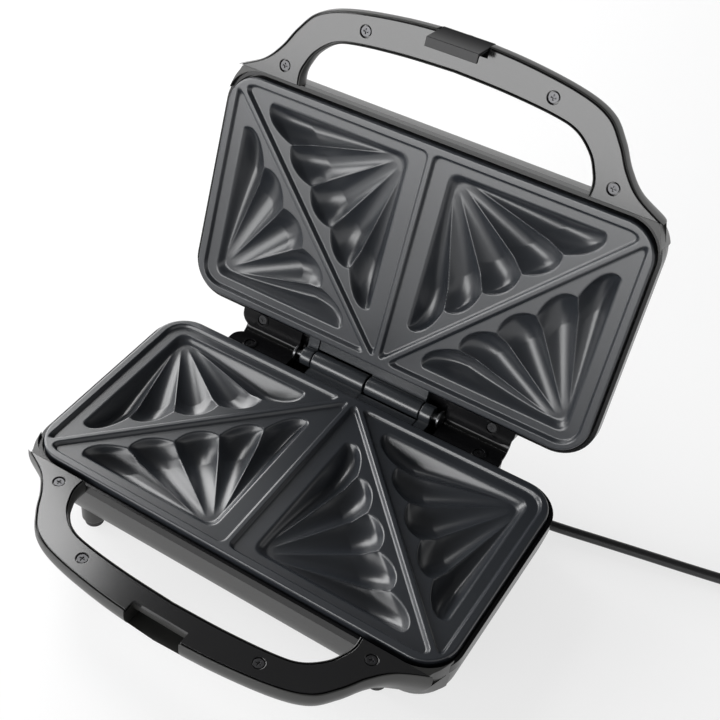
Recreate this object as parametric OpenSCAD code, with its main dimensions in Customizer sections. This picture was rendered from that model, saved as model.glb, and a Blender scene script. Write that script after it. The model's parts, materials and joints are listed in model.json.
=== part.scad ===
// Sandwich toaster with two hinged halves, drawn open as it stands on a table.
// Each half is drawn once, in its own frame: x across, y = 0 at the cooking plate's back edge with the
// handle towards -y, z = 0 at the parting plane with the half below it. The base half stands on its
// feet; the lid half is the same half turned over and swung open about the hinge axis.

/* [Cooking plates] */
// Width of a cooking plate, side to side
plate_w = 260; // [240:1:280]
// Depth of a cooking plate, front to back
plate_d = 137.7; // [128:0.1:148]
// Outside corner radius of a cooking plate
plate_corner = 19.5; // [15:0.5:24]
// Width of the raised rim round the plate
rim_w = 4.7; // [3:0.1:6]
// Depth of the panels below the rim
panel_drop = 2.5; // [1.5:0.1:3.5]
// Width of the bar between the left and right panels, and of the diagonal bars
bar_w = 2.8; // [2:0.1:4]
// Wall thickness of the cast plate
plate_wall = 2.6; // [2:0.1:3]
// Height of the plate's outer skirt
skirt_h = 7.4; // [6.5:0.1:8]
// Gap between the two rims when the toaster is shut
rim_gap = 2; // [1:0.1:3]

/* [Pockets] */
// Distance of a pocket's side wall from the cell's side
pocket_side = 13; // [11:0.1:15]
// Distance of a pocket's end wall from the cell's end
pocket_end = 12; // [11:0.1:14]
// Distance of the scalloped edge from the diagonal bar's centre
pocket_diag = 6.6; // [5:0.1:9]
// Number of flutes that fan out in a pocket
flutes = 5; // [4:1:6]
// Radius of each scallop at panel level
scallop_r = 21; // [18:0.5:24]
// Depth of the scallops below the panel
scallop_depth = 12; // [9:0.5:14]
// Depth of the flat floor in the pocket's right-angled corner
corner_depth = 8; // [6:0.5:9]

/* [Hinge] */
// Distance of the hinge axis behind the plates' back edges
hinge_set = 12.4; // [11.5:0.1:14]
// Outer radius of the hinge barrels
barrel_r = 5.6; // [5:0.1:6.2]
// Radius of the hinge pins
pin_r = 2.5; // [2:0.1:3]
// Radial clearance of the hinge pins in their bores
pin_fit = 0.05; // [0.03:0.01:0.08]
// Distance from the middle to a long barrel's outer end
barrel_end = 36.5; // [32:0.5:40]
// Length of a short knuckle
knuckle_l = 7; // [5:0.5:8]
// Angle between the halves in the open position
open_angle = 107; // [95:1:112]
// Distance from the middle to an ear's inner face
ear_in = 50; // [49.8:0.2:54]
// Distance from the middle to an ear's outer face
ear_out = 92; // [88:1:98]

/* [Housing] */
// Overhang of the housing beyond the plate at the sides, the front and the back
overhang = 3; // [2.5:0.1:4]
// Height of a half from the parting plane to the flat of its cover
half_h = 45; // [40:1:52]
// Depth of the frame's top edge below the parting plane
frame_top = 5; // [4:0.1:5.5]
// Depth of the joint between frame and cover below the parting plane
cover_top = 11; // [10.8:0.1:13]
// Wall thickness of the cover
cover_wall = 2.4; // [1.8:0.1:2.8]
// Height of the rubber feet below the cover
foot_h = 6; // [4:0.5:8]
// Radius of the rubber feet
foot_r = 6; // [5:0.5:8]

/* [Handle] */
// Reach of the handle in front of the plate
handle_reach = 58; // [52:0.5:64]
// Depth of the handle's face below the parting plane
face_top = 1.5; // [1:0.1:2.5]
// Thickness of the handle's face plate
face_t = 2.4; // [1.8:0.1:3]
// Depth of the handle from its face to its underside
handle_depth = 19; // [17:0.5:24]
// Width of the cover's rim round the face plate
handle_rim = 1.5; // [1:0.1:2]

/* [Latch] */
// Width of the latch clip
clip_w = 30; // [24:1:34]
// Thickness of the clip's bent plate
clip_t = 1.8; // [1.4:0.1:2.2]

/* [Screws] */
// Radius of the handle screw heads
head_r = 2.85; // [2.5:0.05:3.2]
// Radius of the screw shanks
shank_r = 1.5; // [1.2:0.1:1.7]
// Clearance round the screw heads and other fitted pieces
seat_gap = 0.3; // [0.2:0.05:0.4]

/* [Heating] */
// Radius of the tubular heating element
element_r = 3.3; // [2.8:0.1:3.8]
// Thickness of the heat shield's sheet
shield_t = 0.8; // [0.6:0.1:1.2]

/* [Cord] */
// Diameter of the mains cord
cord_d = 6; // [5.5:0.1:6.4]

/* [Hidden] */
$fn = 32;

// Levels of the cast plate, and of what hangs under it
rim_z = -rim_gap / 2;
panel_z = rim_z - panel_drop;
under_z = panel_z - plate_wall;
skirt_z = rim_z - skirt_h;
tub_z = panel_z - scallop_depth - plate_wall;
element_z = tub_z - seat_gap - element_r;
shield_z = element_z - element_r - seat_gap;

// One half of the plate has its diagonal from the middle of the hinge side to the outer corner of the
// handle side. A pocket is measured from its right-angled corner, with one unit vector along the
// diagonal and one across it.
cell_w = plate_w / 2;
diag_l = norm([cell_w, plate_d]);
along = [cell_w / diag_l, -plate_d / diag_l];
across = [-along[1], along[0]];
pocket_reach = (plate_d - pocket_end) * across[1] - pocket_side * across[0] - pocket_diag;
edge_from = -across[0] * pocket_reach / along[0];
edge_to = -across[1] * pocket_reach / along[1];
half_chord = (edge_to - edge_from) / flutes / 2;
scallop_sag = scallop_r - sqrt(scallop_r * scallop_r - half_chord * half_chord);

// The plate is held to the frame by posts in the channel between its skirt and its pockets
post_r = 3.3;
post_x = cell_w - pocket_side / 2 - 0.1;
post_y = [-0.25 * plate_d, -0.75 * plate_d];
seat_z = skirt_z - 0.2;
screw_l = 5;
screw_head_h = 2;

// Housing outline, and the inset of the cover's outside with its share of the cover's height
body_x = cell_w + overhang;
body_front = -plate_d - overhang - 0.3;
body_back = overhang;
body_corner = plate_corner + overhang;
band = 2;
wall_steps = [[0, 0], [0.55, 3.3], [0.74, 6], [0.88, 11.5], [0.965, 18.5], [1, 26]];
ear_end = hinge_set - 0.4;
ear_top = 3;
ear_low = 2 * cover_top;
ear_round = 8;
ear_screw = [78, 4.6];

// The handle's face plate: points along its outer edge from the middle to the tip, and the points
// opposite them along the finger gap
handle_front = -plate_d - handle_reach;
face_end = body_front - 0.3;
outer_edge = [[0, handle_front], [34, handle_front + 2.1], [66, handle_front + 6.8],
    [84, handle_front + 13.3], [94, handle_front + 24.3], [101.5, handle_front + 36.3],
    [111, handle_front + 46.3], [body_x - 7, face_end]];
inner_edge = [[0, handle_front + 16.8], [30, handle_front + 18], [58, handle_front + 20.8],
    [72, handle_front + 24.6], [82, handle_front + 33], [87, handle_front + 42],
    [88.7, handle_front + 48], [88.5, face_end]];
root_shift = [[3.5, 11], [0, 11]];
// The handle's section: how far each level stands out beyond the face plate, with its share of the depth
grip_steps = [[0, 0], [0.3, 0.2], [0.55, -1.2], [0.78, -4], [0.95, -6.6], [1, -7.6]];
screw_spots = [[54.7, handle_front + 13.2], [98.3, handle_front + 46.2]];

// Latch: the clip hangs on its pin in the lid handle, and its hook goes past the base handle's catch
catch_y = handle_front + 7.5;
catch_z = -face_top - 6.4;
hook_top = face_top + 9.5;
hook_y = catch_y - 0.6;
clip_y = hook_y - 3.4;
clip_pin_r = 1.2;
clip_barrel_r = 2.4;
clip_pin_y = clip_y - 2.2;
clip_pin_z = -face_top - 6.7;
notch_back = clip_y + 1.2;
latch_floor = 13;

// Cover furniture
foot_spots = [[-94, -0.935 * plate_d], [94, -0.935 * plate_d], [-94, -5], [94, -5]];
pad_z = -half_h - 1.5;
cover_screw_l = 7;
lamp_y = -0.76 * plate_d;
lamp_x = 9;
lens_r = 4;

// World placing: the base stands on its feet, and the origin is the middle of the footprint
parting_h = half_h + foot_h;
function swung(y, z) = hinge_set + (y - hinge_set) * cos(open_angle) - z * sin(open_angle);
back_reach = max([for (s = wall_steps) swung(body_front + s[1],
    -cover_top - s[0] * (half_h - cover_top))]);
front_reach = handle_front - handle_rim - grip_steps[1][1];
origin_y = (front_reach + back_reach) / 2;

function unit(v) = v / norm(v);

// The mains cord: its exit from the cord boss, its route over the table and its coil
boss_x = 64;
exit_y = 9.5;
exit_z = -half_h + 8;
relief_l = 27;
relief_root = 5;
table_z = -parting_h;
route = [[91, 9.5, -37], [94.5, 9.5, -37], [98, 9.5, -37], [104, 10.2, -38.4], [111, 12.4, -41.4],
    [118, 15.4, -44.8], [125, 18.6, -47.1], [136, 21.4, -47.8], [153, 25.1, -47.8], [177, 30.2, -47.8],
    [201.6, 35.3, -47.8], [222, 39.6, -47.6], [240, 43.4, -47.1], [248, 45.1, -46.8],
    [254, 46.4, -46.8], [260, 47.7, -46.8]];
// Two layers of turns: the first winds in, the path climbs in the half turn where it turns back, and
// the second winds out and leaves straight for the plug
coil_mid_r = 33;
coil_pitch = cord_d + 0.55;
coil_in = 1.75;
coil_out = 4.25;
coil_end = route[len(route) - 1];
coil_from = route[len(route) - 2];
coil_dir = unit([coil_end[0] - coil_from[0], coil_end[1] - coil_from[1]]);
coil_r0 = coil_mid_r + coil_pitch * coil_in / 2;
coil_mid = [coil_end[0] - coil_dir[1] * coil_r0, coil_end[1] + coil_dir[0] * coil_r0];
coil_start = atan2(-coil_dir[0], coil_dir[1]);
coil_turn_back = coil_in + 0.25;
function coil_radius(u) = coil_r0 - coil_pitch * (coil_turn_back - abs(u - coil_turn_back));
function coil_rise(u) = let (t = min(max((u - coil_in) / 0.5, 0), 1)) coil_pitch * t * t * (3 - 2 * t);
function coil_at(u) = let (a = coil_start + 360 * u, r = coil_radius(u))
    [coil_mid[0] + r * cos(a), coil_mid[1] + r * sin(a), coil_end[2] + coil_rise(u)];
coil_turns = [for (k = [1:coil_out * 24]) coil_at(k / 24)];
plug_dir = [cos(coil_start + 360 * coil_out + 90), sin(coil_start + 360 * coil_out + 90), 0];
plug_start = coil_turns[len(coil_turns) - 1] + 9 * plug_dir;
coil_path = concat([coil_end, coil_end + cord_d / 2 * [coil_dir[0], coil_dir[1], 0]],
    [for (k = [1:len(coil_turns) - 1]) coil_turns[k]], [plug_start - cord_d * plug_dir, plug_start]);
function path_length(p) = len(p) < 2 ? 0
    : [for (i = 1, l = norm(p[1] - p[0]); i < len(p); l = l + (i + 1 < len(p) ? norm(p[i + 1] - p[i]) : 0), i = i + 1) l][len(p) - 2];
coil_gap = min([for (i = [0:len(coil_path) - 1], j = [0:len(coil_path) - 1])
    if (j - i > 12) norm(coil_path[i] - coil_path[j])]) - cord_d;
echo(cord_length=path_length(route) + path_length(coil_path), least_gap_in_coil=coil_gap);

// ---------------------------------------------------------------- helpers

// A smooth curve through the points p, with n steps between neighbours
function curve(p, n) = [for (i = [0:len(p) - 1], k = [0:(i < len(p) - 1 ? n - 1 : 0)])
    let (a = p[max(i - 1, 0)], b = p[i], c = p[min(i + 1, len(p) - 1)], d = p[min(i + 2, len(p) - 1)],
        t = k / n)
    b + (c - a) * t / 2 + (2 * a - 5 * b + 4 * c - d) * t * t / 2 + (3 * b - a - 3 * c + d) * t * t * t / 2];

// A closed anticlockwise outline moved outwards by d
function grow(p, d) = [for (i = [0:len(p) - 1])
    let (n = len(p), u = unit(p[i] - p[(i + n - 1) % n]), v = unit(p[(i + 1) % n] - p[i]),
        m = unit([u[1] + v[1], -u[0] - v[0]]), c = m * [u[1], -u[0]])
    p[i] + m * d / max(c, 0.5)];

// The points of a right half, followed by their mirror image
function both(p) = concat(p, [for (i = [len(p) - 1:-1:0]) if (p[i][0] > 0) [-p[i][0], p[i][1]]]);

// A rounded rectangle as an anticlockwise outline, with n points in each corner
function round_outline(x, y0, y1, r, n) = [for (q = [0:3], k = [0:n - 1])
    let (a = 90 * q - 90 + 90 * k / (n - 1), sx = q < 2 ? 1 : -1, cy = q == 1 || q == 2 ? y1 - r : y0 + r)
    [sx * (x - r) + r * cos(a), cy + r * sin(a)]];

function at_height(p, z) = [for (q = p) [q[0], q[1], z]];

// A solid through a row of convex rings
module loft(rings) {
    n = len(rings[0]);
    last = len(rings) - 1;
    sides = [for (j = [0:last - 1], i = [0:n - 1], h = [0, 1])
        let (a = j * n + i, b = j * n + (i + 1) % n)
        h == 0 ? [a, b, b + n] : [a, b + n, a + n]];
    first_cap = [for (i = [n - 2:-1:1]) [0, i + 1, i]];
    last_cap = [for (i = [1:n - 2]) [last * n, last * n + i, last * n + i + 1]];
    polyhedron([for (ring = rings, p = ring) p], concat(sides, first_cap, last_cap));
}

// A tube of radius r along the path p, with flat ends
module tube(p, r, sides) {
    n = len(p);
    loft([for (i = [0:n - 1])
        let (t = unit(p[min(i + 1, n - 1)] - p[max(i - 1, 0)]), u = unit(cross(t, [0, 0, 1])), v = cross(u, t))
        [for (k = [0:sides - 1]) p[i] + r * (cos(360 * (k + 0.5) / sides) * u + sin(360 * (k + 0.5) / sides) * v)]]);
}

// A rounded slab between two depths
module slab(x, y0, y1, r, z0, z1) {
    translate([0, 0, z0]) linear_extrude(z1 - z0) {
        translate([-x, y0 + r]) square([2 * x, y1 - y0 - 2 * r]);
        translate([-x + r, y0]) square([2 * x - 2 * r, y1 - y0]);
        for (sx = [-1, 1], y = [y0 + r, y1 - r]) translate([sx * (x - r), y]) circle(r);
    }
}

module sides() {
    for (s = [0, 1]) mirror([s, 0, 0]) children();
}

// Places a half on the feet, or turned over and swung open about the hinge axis
module in_base() {
    translate([0, -origin_y, parting_h]) children();
}
module in_lid() {
    translate([0, hinge_set - origin_y, parting_h]) rotate([-open_angle, 0, 0])
        mirror([0, 0, 1]) translate([0, -hinge_set, 0]) children();
}

// ---------------------------------------------------------------- cooking plates

// Depth below the panel at the fraction t of the way from a pocket's corner to its scalloped edge,
// where p runs from -1 to 1 across one flute: a ridge that falls away and a valley that ends round
function ridge_depth(t) = 1 + (corner_depth - 0.6) * (1 - pow(t, 1.5));
function valley_depth(t) = t < 0.62 ? corner_depth + (scallop_depth - corner_depth) * t / 0.62
    : scallop_depth * sqrt(1 - pow((t - 0.62) / 0.4, 2));
function pocket_depth(t, p) = ridge_depth(t) + (valley_depth(t) - ridge_depth(t)) * (1 - p * p);

// The space of one pocket, with its right-angled corner at the origin and its legs along +x and +y
module pocket() {
    rows = [0.15, 0.4, 0.62, 0.8, 0.94, 1];
    per_flute = 4;
    m = len(rows);
    n = flutes * per_flute;
    lid_z = 2 * panel_drop;
    phases = [for (j = [0:n]) 2 * (j % per_flute) / per_flute - 1];
    edges = [for (j = [0:n]) let (s = edge_from + (edge_to - edge_from) * j / n)
        (across * pocket_reach + along * s) * (1 - scallop_sag * pow(phases[j], 2) / pocket_reach)];
    points = concat([[0, 0, -corner_depth]],
        [for (i = [0:m - 1], j = [0:n]) let (e = edges[j] * rows[i]) [e[0], e[1], -pocket_depth(rows[i], phases[j])]],
        [for (e = edges) [e[0], e[1], lid_z]], [[0, 0, lid_z]]);
    top = 1 + (m + 1) * (n + 1);
    function at(i, j) = 1 + i * (n + 1) + j;
    floor = concat([for (j = [0:n - 1]) [0, at(0, j + 1), at(0, j)]],
        [for (i = [0:m - 1], j = [0:n - 1], h = [0, 1])
            h == 0 ? [at(i, j), at(i + 1, j + 1), at(i + 1, j)] : [at(i, j), at(i, j + 1), at(i + 1, j + 1)]]);
    cap = [for (j = [0:n - 1]) [top, at(m, j), at(m, j + 1)]];
    walls = concat([[top, 0, at(0, 0)], [top, at(0, n), 0]],
        [for (i = [0:m - 1]) [top, at(i, 0), at(i + 1, 0)]],
        [for (i = [0:m - 1]) [top, at(i + 1, n), at(i, n)]]);
    polyhedron(points, concat(floor, cap, walls));
}

// The pockets' places: the handle-side one, and the hinge-side one turned half round
module at_pockets() {
    sides() {
        translate([pocket_side, -plate_d + pocket_end, 0]) children();
        translate([cell_w - pocket_side, -pocket_end, 0]) rotate(180) children();
    }
}

// The outside of a pocket below the panel
module tub() {
    w = plate_wall;
    reach = pocket_reach + w;
    translate([0, 0, tub_z]) linear_extrude(panel_z - w / 2 - tub_z)
        polygon([[-w, -w], [(reach + w * across[1]) / across[0], -w], [-w, (reach + w * across[0]) / across[1]]]);
}

// Panels inside the rim, parted by the middle bar and the diagonal bars
module panels() {
    half_bar = bar_w / 2 * diag_l;
    x0 = bar_w / 2;
    x1 = cell_w - rim_w;
    y0 = -plate_d + rim_w;
    y1 = -rim_w;
    cut = 1.5 * rim_w;
    function diag_x(y, side) = (-y * cell_w + side * half_bar) / plate_d;
    function diag_y(x, side) = -(x * plate_d - side * half_bar) / cell_w;
    translate([0, 0, panel_z]) linear_extrude(3 * panel_drop) sides() {
        polygon([[diag_x(y1, 1), y1], [x1, diag_y(x1, 1)], [x1, y1 - cut], [x1 - cut, y1]]);
        polygon([[x0, diag_y(x0, -1)], [x0, y0], [diag_x(y0, -1), y0]]);
    }
}

// Barrel and knuckle with their webs, cast on the plate, one on each side of the middle
module knuckles() {
    web_z = rim_z - 6;
    for (span = [[-barrel_end, barrel_end - 0.7], [barrel_end + 0.7, knuckle_l]]) translate([span[0], 0, 0]) {
        translate([0, -plate_wall, web_z]) cube([span[1], hinge_set + plate_wall, 4.8]);
        translate([0, hinge_set, 0]) rotate([0, 90, 0]) cylinder(r=barrel_r, h=span[1]);
    }
    translate([-barrel_end, -plate_wall, web_z])
        cube([2 * barrel_end, hinge_set - barrel_r - 0.8 + plate_wall, 4.8]);
}

module plate_posts(r, from, gap) {
    sides() {
        for (y = post_y) translate([post_x, y, seat_z - gap]) cylinder(r=r, h=from - seat_z + gap);
        translate([cell_w / 2, -plate_d / 2, shield_z - gap]) cylinder(r=r, h=from - shield_z + gap);
    }
}

module cooking_plate() {
    difference() {
        union() {
            difference() {
                slab(cell_w, -plate_d, 0, plate_corner, skirt_z, rim_z);
                slab(cell_w - plate_wall, -plate_d + plate_wall, -plate_wall, plate_corner - plate_wall,
                    skirt_z - 1, under_z);
            }
            at_pockets() tub();
            plate_posts(post_r, under_z + 1, 0);
            knuckles();
        }
        panels();
        translate([0, 0, panel_z]) at_pockets() pocket();
        translate([-ear_in, hinge_set, 0]) rotate([0, 90, 0]) cylinder(r=pin_r + pin_fit, h=2 * ear_in);
        sides() {
            for (y = post_y) translate([post_x, y, seat_z - 1]) cylinder(r=shank_r, h=3);
            translate([cell_w / 2, -plate_d / 2, shield_z - 1]) cylinder(r=shank_r, h=screw_l + 1);
        }
    }
}

// ---------------------------------------------------------------- frame

// Ear at each end of the hinge, with a rounded outer corner
module ears(z0, z1) {
    root = overhang - cover_wall;
    sides() translate([0, 0, z0]) linear_extrude(z1 - z0) intersection() {
        translate([ear_in, root]) square([ear_out - ear_in, ear_end - root]);
        union() {
            translate([ear_in, root]) square([ear_out - ear_round - ear_in, ear_end]);
            translate([ear_in, root]) square([ear_out - ear_in, ear_end - ear_round - root]);
            translate([ear_out - ear_round, ear_end - ear_round]) circle(ear_round);
        }
    }
}

module frame() {
    lip = 3;
    win = plate_wall + 0.6;
    inset = cover_wall + 3 * seat_gap;
    knuckle_room = barrel_end + knuckle_l + 2;
    difference() {
        union() {
            slab(body_x, body_front, body_back, body_corner, -cover_top, -frame_top);
            slab(body_x - inset, body_front + inset, body_back - inset, body_corner - inset / 2,
                -cover_top - lip, -cover_top + 1);
            ears(-cover_top, -ear_top);
            sides() translate([ear_screw[0], ear_screw[1], -ear_top - 1]) cylinder(r=4.4, h=1.6);
        }
        slab(cell_w + overhang - band, -plate_d - overhang + band, overhang - band,
            plate_corner + overhang - band, seat_z, 0);
        translate([-cell_w + pocket_side - win, -plate_d + pocket_end - win, -2 * cover_top])
            cube([plate_w - 2 * pocket_side + 2 * win, plate_d - 2 * pocket_end + 2 * win, 2 * cover_top]);
        translate([-knuckle_room, -overhang, rim_z - 6.4]) cube([2 * knuckle_room, 2 * hinge_set, 10]);
        sides() {
            for (y = post_y) translate([post_x, y, -2 * cover_top]) cylinder(r=shank_r + 0.2, h=2 * cover_top);
            for (y = post_y) translate([post_x, y, -2 * cover_top])
                cylinder(r=head_r + seat_gap, h=cover_top - 1 + seat_z + cover_top - 1.6);
            translate([ear_screw[0], ear_screw[1], -ear_top - 1.4]) cylinder(r=head_r + seat_gap, h=3);
            translate([ear_screw[0], ear_screw[1], -2 * cover_top]) cylinder(r=shank_r + 0.2, h=2 * cover_top);
        }
    }
}

// ---------------------------------------------------------------- cover and handle

// The bowl of the cover, or its inside where t is the wall's thickness
module bowl(t) {
    h = half_h - cover_top;
    loft([for (s = wall_steps) let (i = s[1] + t, top = t > 0 ? 1 : 0)
        at_height(round_outline(body_x - i, body_front + i, body_back - i, max(body_corner - i / 2, 4), 6),
            -cover_top - s[0] * (h - t) + (s[0] == 0 ? top : 0))]);
}

outer_line = curve(outer_edge, 2);
inner_line = curve(inner_edge, 2);
face_outline = both(concat(outer_line, [for (i = [len(inner_line) - 1:-1:0]) inner_line[i]]));

// The handle's shell, or its inside where t is the wall's thickness: a section carried round the handle
module grip(t) {
    n = len(outer_line);
    top = t > 0 ? 1 : 0;
    outs = concat(outer_line, [outer_line[n - 1] + root_shift[0]]);
    ins = concat(inner_line, [inner_line[n - 1] + root_shift[1]]);
    stations = concat([for (i = [n:-1:0]) [outs[i], ins[i]]],
        [for (i = [1:n]) [[-outs[i][0], outs[i][1]], [-ins[i][0], ins[i][1]]]]);
    loft([for (s = stations) let (e = unit(s[0] - s[1]), half = norm(s[0] - s[1]) / 2,
            levels = [for (g = grip_steps) [max(handle_rim + g[1] - t, 0.8 - half),
                -face_top - g[0] * (handle_depth - t) + (g[0] == 0 ? top : 0)]])
        concat([for (v = levels) let (q = s[0] + e * v[0]) [q[0], q[1], v[1]]],
            [for (k = [len(levels) - 1:-1:0]) let (q = s[1] - e * levels[k][0]) [q[0], q[1], levels[k][1]]])]);
}

module at_handle_screws() {
    sides() for (p = screw_spots) translate([p[0], p[1], 0]) children();
}

// A screw boss with two ribs that tie it to the handle's curved walls
module ribbed_boss() {
    low_z = -face_top - 0.84 * handle_depth;
    rib_z = -face_top - 0.66 * handle_depth;
    top_z = -face_top - face_t;
    translate([0, 0, low_z]) cylinder(r=head_r + 0.6, h=top_z - low_z, $fn=16);
    for (a = [45, 135]) rotate(a) hull() {
        translate([-4.5, -0.6, rib_z]) cube([9, 1.2, 1]);
        translate([-1, -0.6, top_z - 3]) cube([2, 1.2, 1]);
    }
}

module cover() {
    difference() {
        union() {
            difference() {
                union() {
                    bowl(0);
                    difference() {
                        grip(0);
                        slab(body_x + 5, body_front - 0.2, body_back + 5, 1, -cover_top, 1);
                    }
                }
                bowl(cover_wall);
                difference() {
                    grip(cover_wall);
                    slab(body_x + 5, body_front - cover_wall, body_back, 1, -half_h, 1);
                }
                translate([0, 0, -face_top - face_t]) linear_extrude(10) polygon(grow(face_outline, 0.15));
            }
            ears(-ear_low, -cover_top);
            at_handle_screws() ribbed_boss();
        }
        at_handle_screws() translate([0, 0, -face_top - 11]) cylinder(r=shank_r + 0.05, h=12, $fn=16);
        sides() translate([ear_screw[0], ear_screw[1], -cover_top - 8])
            cylinder(r=shank_r + 0.05, h=10, $fn=16);
    }
}

// A feet's pad under each corner of the base cover
module pads() {
    for (p = foot_spots) translate([p[0], p[1], pad_z]) cylinder(r=foot_r + 1, h=12, $fn=24);
}

// Air slots in the underside
module vents() {
    for (x = [-45:15:45]) hull() for (y = [-0.4, -0.62]) translate([x, y * plate_d, -half_h - 1])
        cylinder(r=1.6, h=cover_wall + 2, $fn=12);
}

module at_cover_screws() {
    sides() translate([cell_w / 2, -plate_d / 2, 0]) children();
}

// The boss at the back that the cord leaves to the side, or its room where t is the wall's thickness
module cord_boss(t) {
    low = t > 0 ? -half_h + t : pad_z;
    translate([boss_x - 24 + t, -30 + 2 * t, low])
        cube([24 - 2 * t, 30 + exit_y + 8.2 - 3 * t, exit_z + relief_root + 3.2 - t - low]);
}

module base_cover() {
    shield_under = shield_z - shield_t;
    color("#3c3d3c") in_base() difference() {
        union() {
            cover();
            difference() {
                union() {
                    pads();
                    cord_boss(0);
                }
                bowl(cover_wall);
            }
            at_cover_screws() translate([0, 0, -half_h + 0.5])
                cylinder(r=head_r + 2, h=half_h - 0.5 + shield_under, $fn=24);
            latch_box();
        }
        for (p = foot_spots) translate([p[0], p[1], pad_z - 1]) cylinder(r=2.2, h=5, $fn=20);
        at_cover_screws() {
            translate([0, 0, -half_h - 1]) cylinder(r=shank_r + 0.2, h=half_h, $fn=20);
            translate([0, 0, -half_h - 1]) cylinder(r=head_r + 0.4, h=half_h + 1 + shield_under - cover_screw_l, $fn=24);
        }
        cord_boss(cover_wall);
        translate([boss_x - cover_wall - 1, exit_y, exit_z]) rotate([0, 90, 0])
            cylinder(r=relief_root - 0.5, h=cover_wall + 2, $fn=24);
        vents();
        latch_room();
    }
}

// Walls of the base handle's latch recess, and the room inside them with an undercut behind the catch
module latch_box() {
    translate([-clip_w / 2 - 3.6, handle_front + 1, -face_top - latch_floor - 2])
        cube([clip_w + 7.2, 12.5, latch_floor + 2 - face_t]);
}
module latch_room() {
    w = clip_w + 4;
    z = -face_top - latch_floor;
    translate([-w / 2, handle_front - 10, z]) cube([w, catch_y - handle_front + 10, 40]);
    translate([-w / 2, catch_y - 1, z]) cube([w, 5, catch_z - z]);
}

// Notch in the lid handle that carries the clip
module lid_cover() {
    w = clip_w + 1;
    color("#4a4b4c") in_lid() difference() {
        union() {
            cover();
            translate([-w / 2 - 2.4, handle_front + 1, -face_top - 12]) cube([w + 4.8, 8, 12 - face_t]);
        }
        translate([-w / 2, handle_front - 10, -face_top - 10]) cube([w, notch_back - handle_front + 10, 40]);
        translate([-w / 2 - 1.5, clip_pin_y, clip_pin_z]) rotate([0, 90, 0])
            cylinder(r=clip_pin_r + 0.05, h=w + 3, $fn=20);
        for (s = [-1, 1]) translate([s * lamp_x, lamp_y, -half_h - 1]) cylinder(r=lens_r + 0.1, h=cover_wall + 2);
    }
}

module base_frame() {
    color("#161617") in_base() frame();
}
module lid_frame() {
    color("#161617") in_lid() frame();
}
module lower_plate() {
    color("#45474a") in_base() cooking_plate();
}
module upper_plate() {
    color("#45474a") in_lid() mirror([1, 0, 0]) cooking_plate();
}

// ---------------------------------------------------------------- handle plates

module face_plate() {
    difference() {
        translate([0, 0, -face_top - face_t]) linear_extrude(face_t) polygon(face_outline);
        at_handle_screws() {
            translate([0, 0, -face_top - 1.4]) cylinder(r=head_r + seat_gap + 0.25, h=3);
            translate([0, 0, -2 * face_t - face_top]) cylinder(r=shank_r + 0.2, h=3 * face_t);
        }
    }
}
module base_handle_plate() {
    w = clip_w + 4;
    color("#333435") in_base() difference() {
        face_plate();
        translate([-w / 2, handle_front - 10, -10]) cube([w, catch_y - handle_front + 10, 20]);
    }
}
module lid_handle_plate() {
    w = clip_w + 1;
    color("#505255") in_lid() difference() {
        face_plate();
        translate([-w / 2, handle_front - 10, -10]) cube([w, notch_back - handle_front + 10, 20]);
    }
}

// ---------------------------------------------------------------- heating

// A tubular loop under the pockets, open at the hinge side, with two cold ends
module element() {
    x = 0.615 * cell_w;
    y0 = -0.76 * plate_d;
    y1 = -0.24 * plate_d;
    r = 14;
    gap = 14;
    translate([0, 0, element_z]) {
        sides() {
            translate([gap, y1, 0]) rotate([0, 90, 0]) cylinder(r=element_r, h=x - r - gap);
            translate([gap - 8, y1, 0]) rotate([0, 90, 0]) cylinder(r=1.5, h=8);
            translate([x, y0 + r, 0]) rotate([-90, 0, 0]) cylinder(r=element_r, h=y1 - y0 - 2 * r);
            translate([x - r, y1 - r, 0]) rotate_extrude(angle=90) translate([r, 0]) circle(element_r);
            translate([x - r, y0 + r, 0]) rotate([0, 0, -90]) rotate_extrude(angle=90)
                translate([r, 0]) circle(element_r);
        }
        translate([-x + r, y0, 0]) rotate([0, 90, 0]) cylinder(r=element_r, h=2 * (x - r));
    }
}
module shield() {
    x = 0.84 * cell_w;
    y0 = -0.9 * plate_d;
    y1 = -0.1 * plate_d;
    difference() {
        slab(x, y0, y1, 10, shield_z - shield_t, shield_z + 3);
        slab(x - shield_t, y0 + shield_t, y1 - shield_t, 10 - shield_t, shield_z, shield_z + 4);
        at_cover_screws() translate([0, 0, shield_z - 5]) cylinder(r=shank_r + 0.2, h=10);
    }
}
module lower_heating_element() {
    color("#8d8f91") in_base() element();
}
module upper_heating_element() {
    color("#8d8f91") in_lid() element();
}
module lower_heat_shield() {
    color("#b9bcbe") in_base() shield();
}
module upper_heat_shield() {
    color("#b9bcbe") in_lid() shield();
}

// ---------------------------------------------------------------- screws

// A pan-head screw with a cross recess, pointing down from its seat
module screw(l, head_h) {
    difference() {
        union() {
            cylinder(r=head_r, h=head_h);
            translate([0, 0, -l]) cylinder(r=shank_r - 0.05, h=l + 0.1);
        }
        for (a = [0, 90]) rotate(a) translate([-1.5, -0.35, head_h - 0.7]) cube([3, 0.7, 1]);
    }
}
module handle_screws() {
    at_handle_screws() translate([0, 0, -face_top - 1.4]) screw(6, 1);
}
module hinge_screws() {
    sides() translate([ear_screw[0], ear_screw[1], -ear_top - 1.4]) screw(9, 1.2);
}
module plate_screws() {
    sides() for (y = post_y) translate([post_x, y, seat_z - 4]) rotate([180, 0, 0]) screw(5.4, 1.6);
}
module under_screws(extra) {
    at_cover_screws() translate([0, 0, shield_z - shield_t - extra]) rotate([180, 0, 0])
        screw(screw_l - 0.4 + shield_t + extra, screw_head_h);
}
module base_handle_screws() {
    color("#6f7173") in_base() handle_screws();
}
module lid_handle_screws() {
    color("#6f7173") in_lid() handle_screws();
}
module base_hinge_screws() {
    color("#6f7173") in_base() hinge_screws();
}
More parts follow.
